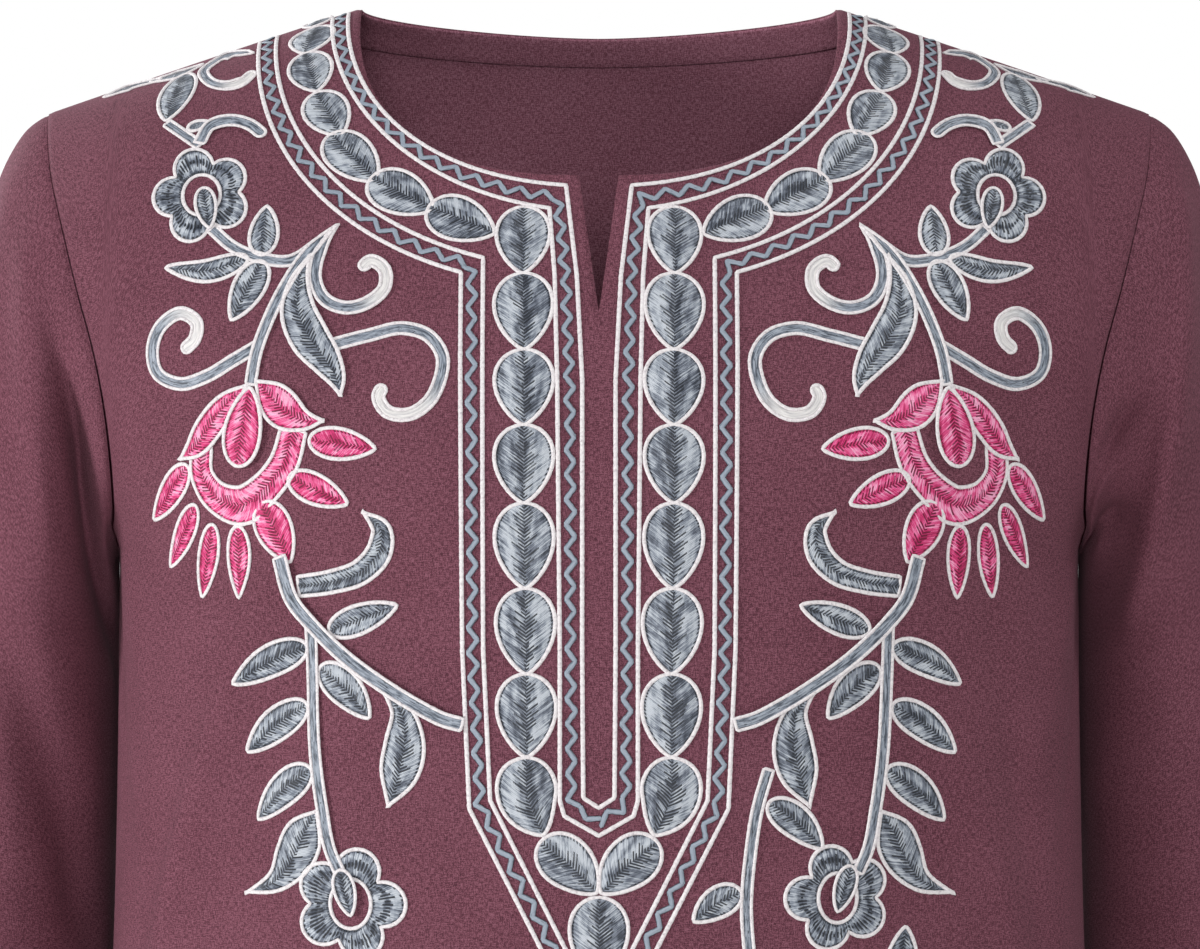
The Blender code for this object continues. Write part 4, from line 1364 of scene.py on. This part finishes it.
# %% Stems and scrolls
Stem = namedtuple("Stem", "name width taper white_from layer marks")
STEMS = [
    Stem("fork_to_lotus", 4.8, 12, None, 1, [
        (95, -86), (100.5, -91), (107, -98), (114, -109), (120, -121.5), (124, -133), (126, -144.4),
    ]),
    Stem("inner_scroll", 5.2, 12, 0.55, 0.5, [
        (95, -86), (99.5, -92), (102.5, -99), (103, -106.5), (99.5, -113.5), (92, -116.7), (84, -115),
        (77.5, -108.7), (78, -102.5), (83, -99.6), (86.5, -102.5),
    ]),
    Stem("fork_to_flower", 4.8, 12, None, 0, [
        (95, -86), (103, -93.3), (112.5, -99.2), (123, -98.2), (133.5, -94), (141.8, -87),
    ]),
    Stem("lower_scroll", 5.2, 0, 0.58, 0, [
        (97.5, -130.4), (83.5, -126.8), (70, -124.2), (61.5, -127), (56.5, -134.3), (57.5, -143.5),
        (61.5, -151), (69, -155.5), (77, -153.8), (79.5, -148.3), (77.5, -145),
    ]),
    Stem("outer_scroll", 5.2, 0, 0.66, 0, [
        (123, -130), (132.5, -135.5), (143, -141.5), (152.5, -144), (161, -140), (163, -131.8),
        (159.5, -122.5), (152, -118.2), (146.5, -121.8), (147, -127.4), (151.5, -132),
    ]),
    Stem("stem_from_lotus", 5.7, 0, None, 2, [
        (115, -207), (110, -223), (103.5, -231), (92, -242), (78, -252.3), (64.5, -260.5), (55.5, -265),
        (48.9, -266.8),
    ]),
    Stem("stem_to_rosette", 4.8, 0, None, 1, [
        (104.2, -231), (103.5, -252.5), (102, -279.7), (99.5, -298), (96.5, -313), (93.2, -320.5),
    ]),
    Stem("bud_stem", 4.6, 0, None, 0, [
        (160.5, -46.5), (147.5, -55.5),
    ]),
    Stem("bud_hook", 5.2, 0, 1.5, 1, [
        (147.5, -55), (144, -48.6), (136, -46.4), (129, -48.2), (123.5, -52.4),
    ]),
    Stem("shoulder_scroll", 4.8, 4, 0.62, 0, [
        (129.5, -18.8), (137, -18.6), (144.5, -21.6), (148.5, -26.2), (145.5, -30.2), (139, -32.0),
        (132.5, -30.2), (129, -26.6),
    ]),
]
LEFT_STEMS = [
    Stem("side_stem", 4.8, 0, None, 0, [
        (61.0, -283), (57, -297), (54.5, -313), (53, -332), (54.5, -354),
    ]),
]
TAPERED_START = 0.04
WHITENING = 0.2


def sew_stem(stem, side, cords, fills):
    """The laid thread of a stem and the cord round it. A scroll ends round, in white thread."""
    line = mirrored(line_through(stem.marks, 30 + 8 * len(stem.marks)), side)
    reach = run_lengths(line, 0)
    half = np.full(len(line), stem.width / 2000 - STEM_CORD.half_width)
    whiteness = np.zeros(len(line))
    if stem.taper:
        half = half * np.clip(reach * 1000 / stem.taper, TAPERED_START, 1)
    if stem.white_from is not None:
        to_end = (reach[-1] - reach) / half[-1]
        half = half * np.sqrt(np.clip(1 - (1 - np.clip(to_end, 0, 1)) ** 2, 0, 1))
        whiteness = eased((reach / reach[-1] - stem.white_from) / WHITENING)
    fill_motif(fills, line, half, (whiteness[:, None],) * 2, 6, stem.layer, along_threads=True)
    edge_cord(cords, line, half, STEM_CORD, stem.layer)


spray_cords = {-1: Sewn("thread"), 1: Sewn("thread")}
stem_fills = Sewn("stitch", "vein", "look")
for stem in STEMS + LEFT_STEMS:
    for side in (1,) if stem in LEFT_STEMS else (-1, 1):
        sew_stem(stem, side, spray_cords[side], stem_fills)
stem_fills.make("stem_threads", stem_thread, "grey_thread")

# %% Leaves and petals
LEAVES = [
    Motif((123.0, -97.1), (121.5, -78.8), 12.0),
    Motif((128.0, -98.2), (158.5, -101.3), 9.6, -0.10),
    Motif((122.5, -99.4), (133.5, -120.9), 13.0),
    Motif((97.5, -233.4), (72.5, -224.0), 11.8),
    Motif((106.0, -238.9), (131.0, -252.9), 12.6, 0.05),
    Motif((101.0, -246.5), (82.5, -264.7), 13.6, -0.05),
    Motif((106.0, -260.1), (128.0, -277.6), 12.9, 0.05),
    Motif((104.0, -283.4), (125.0, -302.1), 13.6, 0.05),
    Motif((155.5, -26.6), (161.0, -45.6), 14.7),
    Motif((165.0, -28.2), (187.0, -34.8), 4.6, 0.04),
    Motif((169.0, -29.0), (149.0, -22.4), 4.6, 0.04),
    Motif((152.5, -48.8), (144.5, -46.4), 5.0),
]
LEFT_LEAVES = [
    Motif((61.0, -295.0), (80.5, -311.7), 13.0, 0.05),
    Motif((51.0, -326.8), (34.0, -337.5), 12.5, -0.05),
    Motif((108.0, -368.0), (111.0, -340.5), 14.0),
]
PETALS = [
    Motif((104.5, -164.5), (80.5, -167.8), 12.6),
    Motif((112.0, -178.0), (90.5, -187.6), 12.2),
    Motif((122.0, -187.2), (111.5, -208.7), 14.8),
    Motif((131.0, -195.7), (130.0, -221.9), 9.7),
    Motif((140.5, -195.2), (144.5, -221.8), 8.9),
    Motif((147.0, -188.3), (157.0, -210.9), 9.5),
    Motif((150.0, -173.8), (163.5, -193.6), 10.8),
]
LEAF_ENDS = 0.52, 0.80

spray_fills = Sewn("stitch", "vein", "look")
pink_fills = Sewn("stitch", "vein", "look")


def sew_leaf(fills, leaf, side, middle):
    """A leaf or petal. middle is how pale it is, and one side of its vein is painted a little paler: a
    painted sheen.
    """
    painted_sheen_tilt = chance.choice([-1, 1]) * chance.uniform(0.03, 0.10)
    sew_motif(leaf, side, LEAF_ENDS, (middle - painted_sheen_tilt, middle + painted_sheen_tilt), fills, spray_cords[side])


for side in (-1, 1):
    for leaf in LEAVES:
        sew_leaf(spray_fills, leaf, side, chance.uniform(0.44, 0.54))
    for petal in PETALS:
        sew_leaf(pink_fills, petal, side, chance.uniform(0.36, 0.52))
for leaf in LEFT_LEAVES:
    sew_leaf(spray_fills, leaf, 1, 0.48)
print("leaves and petals:", 2 * len(LEAVES + PETALS) + len(LEFT_LEAVES))

# %% [markdown]
# ### Forms that bend or change width
# The curved leaves, the horn and the lotus have centre lines with several points, each with its own
# width.

# %% Shaped motifs
Form = namedtuple("Form", "name pink middle layer points")
FORMS = [
    Form("curled_leaf", False, 0.50, 1, [
        (105, -97, 0.5), (109, -108, 8.5), (109, -118, 13.6), (104.5, -128, 15), (98.5, -136, 12),
        (94.5, -143, 7), (93, -149.3, 0.5),
    ]),
    Form("horn", False, 0.50, 0, [
        (108.5, -217.5, 8.6), (96, -215.6, 9.2), (85.5, -212, 9.8), (79, -204.7, 10), (78.2, -197.2, 8),
        (85.5, -190, 0.5),
    ]),
    Form("hanging_leaf", False, 0.50, 0, [
        (77.5, -255.5, 0.5), (71.5, -261.5, 8.0), (69.8, -274, 15.4), (72, -285, 14.5), (76, -297, 0.5),
    ]),
    Form("swept_leaf", False, 0.50, 0, [
        (101.5, -298, 0.5), (106, -306, 14.0), (110, -315, 15.6), (116, -323.5, 9.5), (129, -329.2, 0.5),
    ]),
    Form("lotus_cup", True, 0.62, 0, [
        (144.5, -166.5, 9), (144.3, -177.4, 9.6), (139.5, -184.8, 12), (129.5, -188.3, 15),
        (120.8, -182, 12.6), (114.2, -173.6, 11.8), (110.2, -160.5, 10.8),
    ]),
    Form("lotus_outer_petal", True, 0.56, 1, [
        (126.5, -144, 0.5), (134.5, -151, 8.6), (141.5, -160, 11), (147, -167.3, 8), (152.8, -171.6, 0.5),
    ]),
    Form("lotus_inner_petal", True, 0.56, 1, [
        (124.5, -142.8, 0.5), (118.5, -148.8, 12.4), (112.5, -154.7, 14), (106.5, -157.5, 8.6),
        (98.6, -157.7, 0.5),
    ]),
]
# How much paler one side of a form's vein is painted: a painted sheen.
FORM_PAINTED_SHEEN_TILT = 0.05
LEAST_HALF_WIDTH = 0.0001
HEART = Motif((130.5, -173.8), (126.0, -145.6), 14.8)


def sew_form(form, side):
    """The satin stitch of a form, as wide at each mark as its row says, and the cord round it."""
    marks, widths = np.array(form.points)[:, :2], np.array(form.points)[:, 2]
    line = mirrored(line_through(marks), side)
    width = smooth(share_along(marks), widths, share_along(line)) / 2000
    half = np.maximum(width - EDGE_CORD.half_width, LEAST_HALF_WIDTH)
    fills = pink_fills if form.pink else spray_fills
    fill_motif(fills, line, half, (form.middle - FORM_PAINTED_SHEEN_TILT, form.middle + FORM_PAINTED_SHEEN_TILT), 14, form.layer)
    edge_cord(spray_cords[side], line, half, layer=form.layer)


for side in (-1, 1):
    for form in FORMS:
        sew_form(form, side)
    sew_motif(HEART, side, DROP_ENDS, (0.40, 0.46), pink_fills, spray_cords[side], layer=2)
print("shaped motifs:", 2 * len(FORMS))

# %% [markdown]
# ### Rosettes
# A rosette is a ring of satin stitch with five round lobes. The stitches run outwards from the ring and
# inwards from the edge, and meet in a band that is sunk a little and darkened by the satin's painted shade
# at its vein.

# %% Rosettes
Rosette = namedtuple("Rosette", "side x z ring_x ring_z reach lobes seed")
UPPER_LOBES = (72, 145, 208, 290, 357)
LOWER_LOBES = (33, 102, 180, 252, 325)
UPPER_SEED = Motif((145.2, -72.6), (142.0, -87.5), 9.0)
ROSETTES = [
    Rosette(-1, 146, -74.4, 7.0, 7.6, 18.8, UPPER_LOBES, UPPER_SEED),
    Rosette(1, 146, -74.4, 7.0, 7.6, 18.8, UPPER_LOBES, UPPER_SEED),
    Rosette(-1, 89.5, -331.8, 7.4, 9.0, 20.8, LOWER_LOBES, Motif((93.0, -319.5), (89.0, -336.0), 9.0)),
    Rosette(1, 86, -329.6, 7.0, 9.0, 19.8, LOWER_LOBES, Motif((90.5, -318.0), (85.5, -334.5), 9.0)),
]
# Stitches are counted at this share of a rosette's reach.
STITCHES_AT = 0.7
LOBE_CENTRE = 0.60
RING_POINTS = 160
BAND_HALF_WIDTH = 0.3


def lobed(angles, reach, lobes):
    """The distance from the centre to the scalloped edge in each direction."""
    centre, radius = LOBE_CENTRE * reach, (1 - LOBE_CENTRE) * reach
    edge = np.full_like(angles, centre)
    for lobe in lobes:
        turn = angles - math.radians(lobe)
        inside = np.clip(radius**2 - (centre * np.sin(turn)) ** 2, 0, None)
        far = np.where((inside > 0) & (np.cos(turn) > 0), centre * np.cos(turn) + np.sqrt(inside), 0)
        edge = np.maximum(edge, far)
    return edge


def sew_rosette(rosette, columns=12):
    """The lobed ring of stitches, its cords, and the seed over it."""
    cords = spray_cords[rosette.side]
    angles = np.linspace(0, 2 * math.pi, RING_POINTS, endpoint=False)
    edge = lobed(angles, rosette.reach / 1000 - EDGE_CORD.half_width, rosette.lobes)
    ring = 0.001 / np.hypot(np.cos(angles) / rosette.ring_x, np.sin(angles) / rosette.ring_z)
    away = np.stack([rosette.side * np.cos(angles), np.sin(angles)], axis=-1)
    centre = np.array([rosette.side * rosette.x, rosette.z]) / 1000
    share = np.linspace(1, -1, columns + 1)
    radius = (edge + ring)[:, None] / 2 + (edge - ring)[:, None] / 2 * share
    place, normal = on_cloth(centre + radius[..., None] * away[:, None])
    dark_band = np.clip(1 - np.abs(share) / BAND_HALF_WIDTH, 0, 1)
    swell = (1 - np.abs(share) ** PAD_ROUNDNESS) * (1 - dark_band / 2)
    points = place + normal * (PAD_HEIGHT * swell - PAD_SINK)[None, :, None]
    wrap = np.arange(len(angles) + 1) % len(angles)
    round_it = np.append(angles, 2 * math.pi)[:, None] * rosette.reach * STITCHES_AT + 0 * share
    half = 500 * (edge - ring)[wrap, None] + 0 * share
    across = half * np.abs(share)
    # The outer half of the ring is painted paler than the inner: a painted sheen.
    pale = 0.42 + 0.08 * share + 0 * half
    look = np.stack([pale, np.full_like(half, chance.integers(1, SEEDS))], axis=-1)
    stitch = np.stack([round_it, across], axis=-1)
    vein = np.stack([across, half], axis=-1)
    spray_fills.add(points, round_rows=True, stitch=stitch, vein=vein, look=look)
    for distance in (edge, ring):
        lay_cord(cords, centre + distance[:, None] * away, EDGE_CORD, closed=True)
    sew_motif(rosette.seed, rosette.side, DROP_ENDS, (0.35, 0.45), spray_fills, cords, 8, STEM_CORD, 2)


for rosette in ROSETTES:
    sew_rosette(rosette)
for side, name in ((-1, "right"), (1, "left")):
    spray_cords[side].make(name + "_spray_cords", white_cord, "white_cord")
spray_fills.make("spray_satin", grey_satin, "grey_thread")
pink_fills.make("lotus_satin", pink_satin, "pink_thread")

# %% [markdown]
# ## Sewing thread
# The facing, the hem, the cuffs and the edges of the side slits are held by rows of plain lockstitch in
# plum thread. Each stitch is a short thread that dips into the cloth at both ends.

# %% Rows of stitches
LOCKSTITCH = CordSize(0.00032, 0.00022, 0.0005, 5)
STITCH_LENGTH = 0.0024
STITCH_PITCH = 0.0033
HEM_DEPTH = 0.018
EDGE_DEGREES = 3.0
STITCH_SINK = 0.0002
STITCH_POINTS = 5
FACING_ROW = 0.86
SLIT_ROW_MARGIN = 0.004
CUFF_ROW = 0.97

# Its darkest colour is painted shade at the sides, its palest a painted highlight on top.
sewing_thread = laid_thread("plum_sewing_thread", "#5a3543", "#855c6b", "#a37a89")
stitches = Sewn("thread")


def stitch_row(places, normals):
    """A row of stitches along a line of places."""
    reach = run_lengths(places, 0)
    for start in np.arange(0, reach[-1] - STITCH_LENGTH, STITCH_PITCH):
        at = np.linspace(start, start + STITCH_LENGTH, STITCH_POINTS)
        normal = read_at(at, reach, normals)
        cord_tube(stitches, read_at(at, reach, places) - normal * STITCH_SINK, normal, LOCKSTITCH)


def body_row(front, side, x, z, angle, inwards=0.0):
    """A row on the body. inwards moves it to the inner side of the cloth."""
    facing = -1 if front else 1
    out_x, out_y = side * np.sin(angle) / half_width(z), facing * np.cos(angle) / depth(front, z)
    out = unit(np.stack([out_x, out_y, 0 * x], axis=-1))
    places = on_body(front, side, x, z, angle) + facing * BACKWARDS * SEAM_GAP / 2
    stitch_row(places - out * inwards, -out if inwards else out)


row_t = np.linspace(0.02, 1, 200)
for side in (-1, 1):
    x, z = (part[:, 0] for part in facing_places(row_t, [FACING_ROW]))
    body_row(False, side, x, z, angle_at(x, z))
    body_row(False, side, x, z, angle_at(x, z), CLOTH_THICKNESS + FACING_GAP + FACING_THICKNESS)
    for front in (True, False):
        z = np.linspace(SIDE_SLIT_TOP + SLIT_ROW_MARGIN, HEM + HEM_DEPTH, 120)
        angle = math.pi / 2 - slit_opening(z) - math.radians(EDGE_DEGREES)
        body_row(front, side, out_at(z, angle), z, angle)
        angle = np.linspace(0, angle[-1], 200)
        z = np.full_like(angle, HEM + HEM_DEPTH)
        body_row(front, side, out_at(z, angle), z, angle)
    cuff = sleeve(side, RING_PLACES, [CUFF_ROW])[0]
    cuff = np.concatenate([cuff, cuff[:1]])
    stitch_row(cuff, unit(cuff - cuff.mean(axis=0)))
stitches.make("sewing_stitches", sewing_thread, "plum_cloth")

# %% [markdown]
# ## Floor and light
# The floor is plain and pale, and the light is a studio's: a soft key from the left to model the folds, a
# front lamp that also reaches the inside of the back, weaker lamps above and on the right, and one behind
# that models the back.

print("floor and light")

# %% Floor, world and lamps
FLOOR_HEIGHT = -0.90
FLOOR_REACH = 1.7
WORLD_LIGHT = 0.14
LAMP_TARGET = Vector((0, 0, -0.2))


def paper(name, colour, light):
    """Matt paper with a faint grain."""
    material, tree = start_material(name, {"Roughness": 0.8})
    grain = noise(tree, add(tree, "TexCoord", {}).outputs["Object"], 40.0)
    return finish_material(material, ramp(tree, grain, (0.3, colour), (0.7, light)))


corners = [(x * FLOOR_REACH, y * FLOOR_REACH, 0) for x, y in ((-1, -1), (1, -1), (1, 1), (-1, 1))]
floor_mesh = bpy.data.meshes.new("floor")
floor_mesh.from_pydata(corners, [], [(0, 1, 2, 3)])
floor_mesh.materials.append(paper("matt_studio_paper", "#efeeec", "#f4f3f1"))
floor = bpy.data.objects.new("floor", floor_mesh)
floor.location.z = FLOOR_HEIGHT
bpy.context.scene.collection.objects.link(floor)

world = bpy.data.worlds.new("studio")
bpy.context.scene.world = world
world.use_nodes = True
tree = world.node_tree
background = tree.nodes["Background"]
seen = add(tree, "LightPath", {}).outputs["Is Camera Ray"]
strength = add(tree, "Mix", {0: seen, 2: WORLD_LIGHT, 3: 1.0}, data_type="FLOAT").outputs[0]
tree.links.new(strength, background.inputs["Strength"])
background.inputs["Color"].default_value = (1, 1, 1, 1)


def lamp(name, place, size, power):
    """A round soft lamp that points at the tunic."""
    data = bpy.data.lights.new(name, "AREA")
    data.shape = "DISK"
    data.size = size
    data.energy = power
    made = bpy.data.objects.new(name, data)
    made.location = place
    made.rotation_euler = (LAMP_TARGET - Vector(place)).to_track_quat("-Z", "Y").to_euler()
    bpy.context.scene.collection.objects.link(made)


lamp("key_lamp", (-2.6, -1.25, 0.05), 0.9, 54)
lamp("front_lamp", (0, -3.0, 0.2), 0.9, 33)
lamp("top_lamp", (0.95, 0, 2.6), 1.0, 24)
lamp("right_lamp", (2.2, -1.25, 1.25), 0.9, 18)
lamp("back_lamp", (-2.1, 1.8, 1.1), 1.2, 58)
bpy.context.scene.view_settings.view_transform = "Standard"
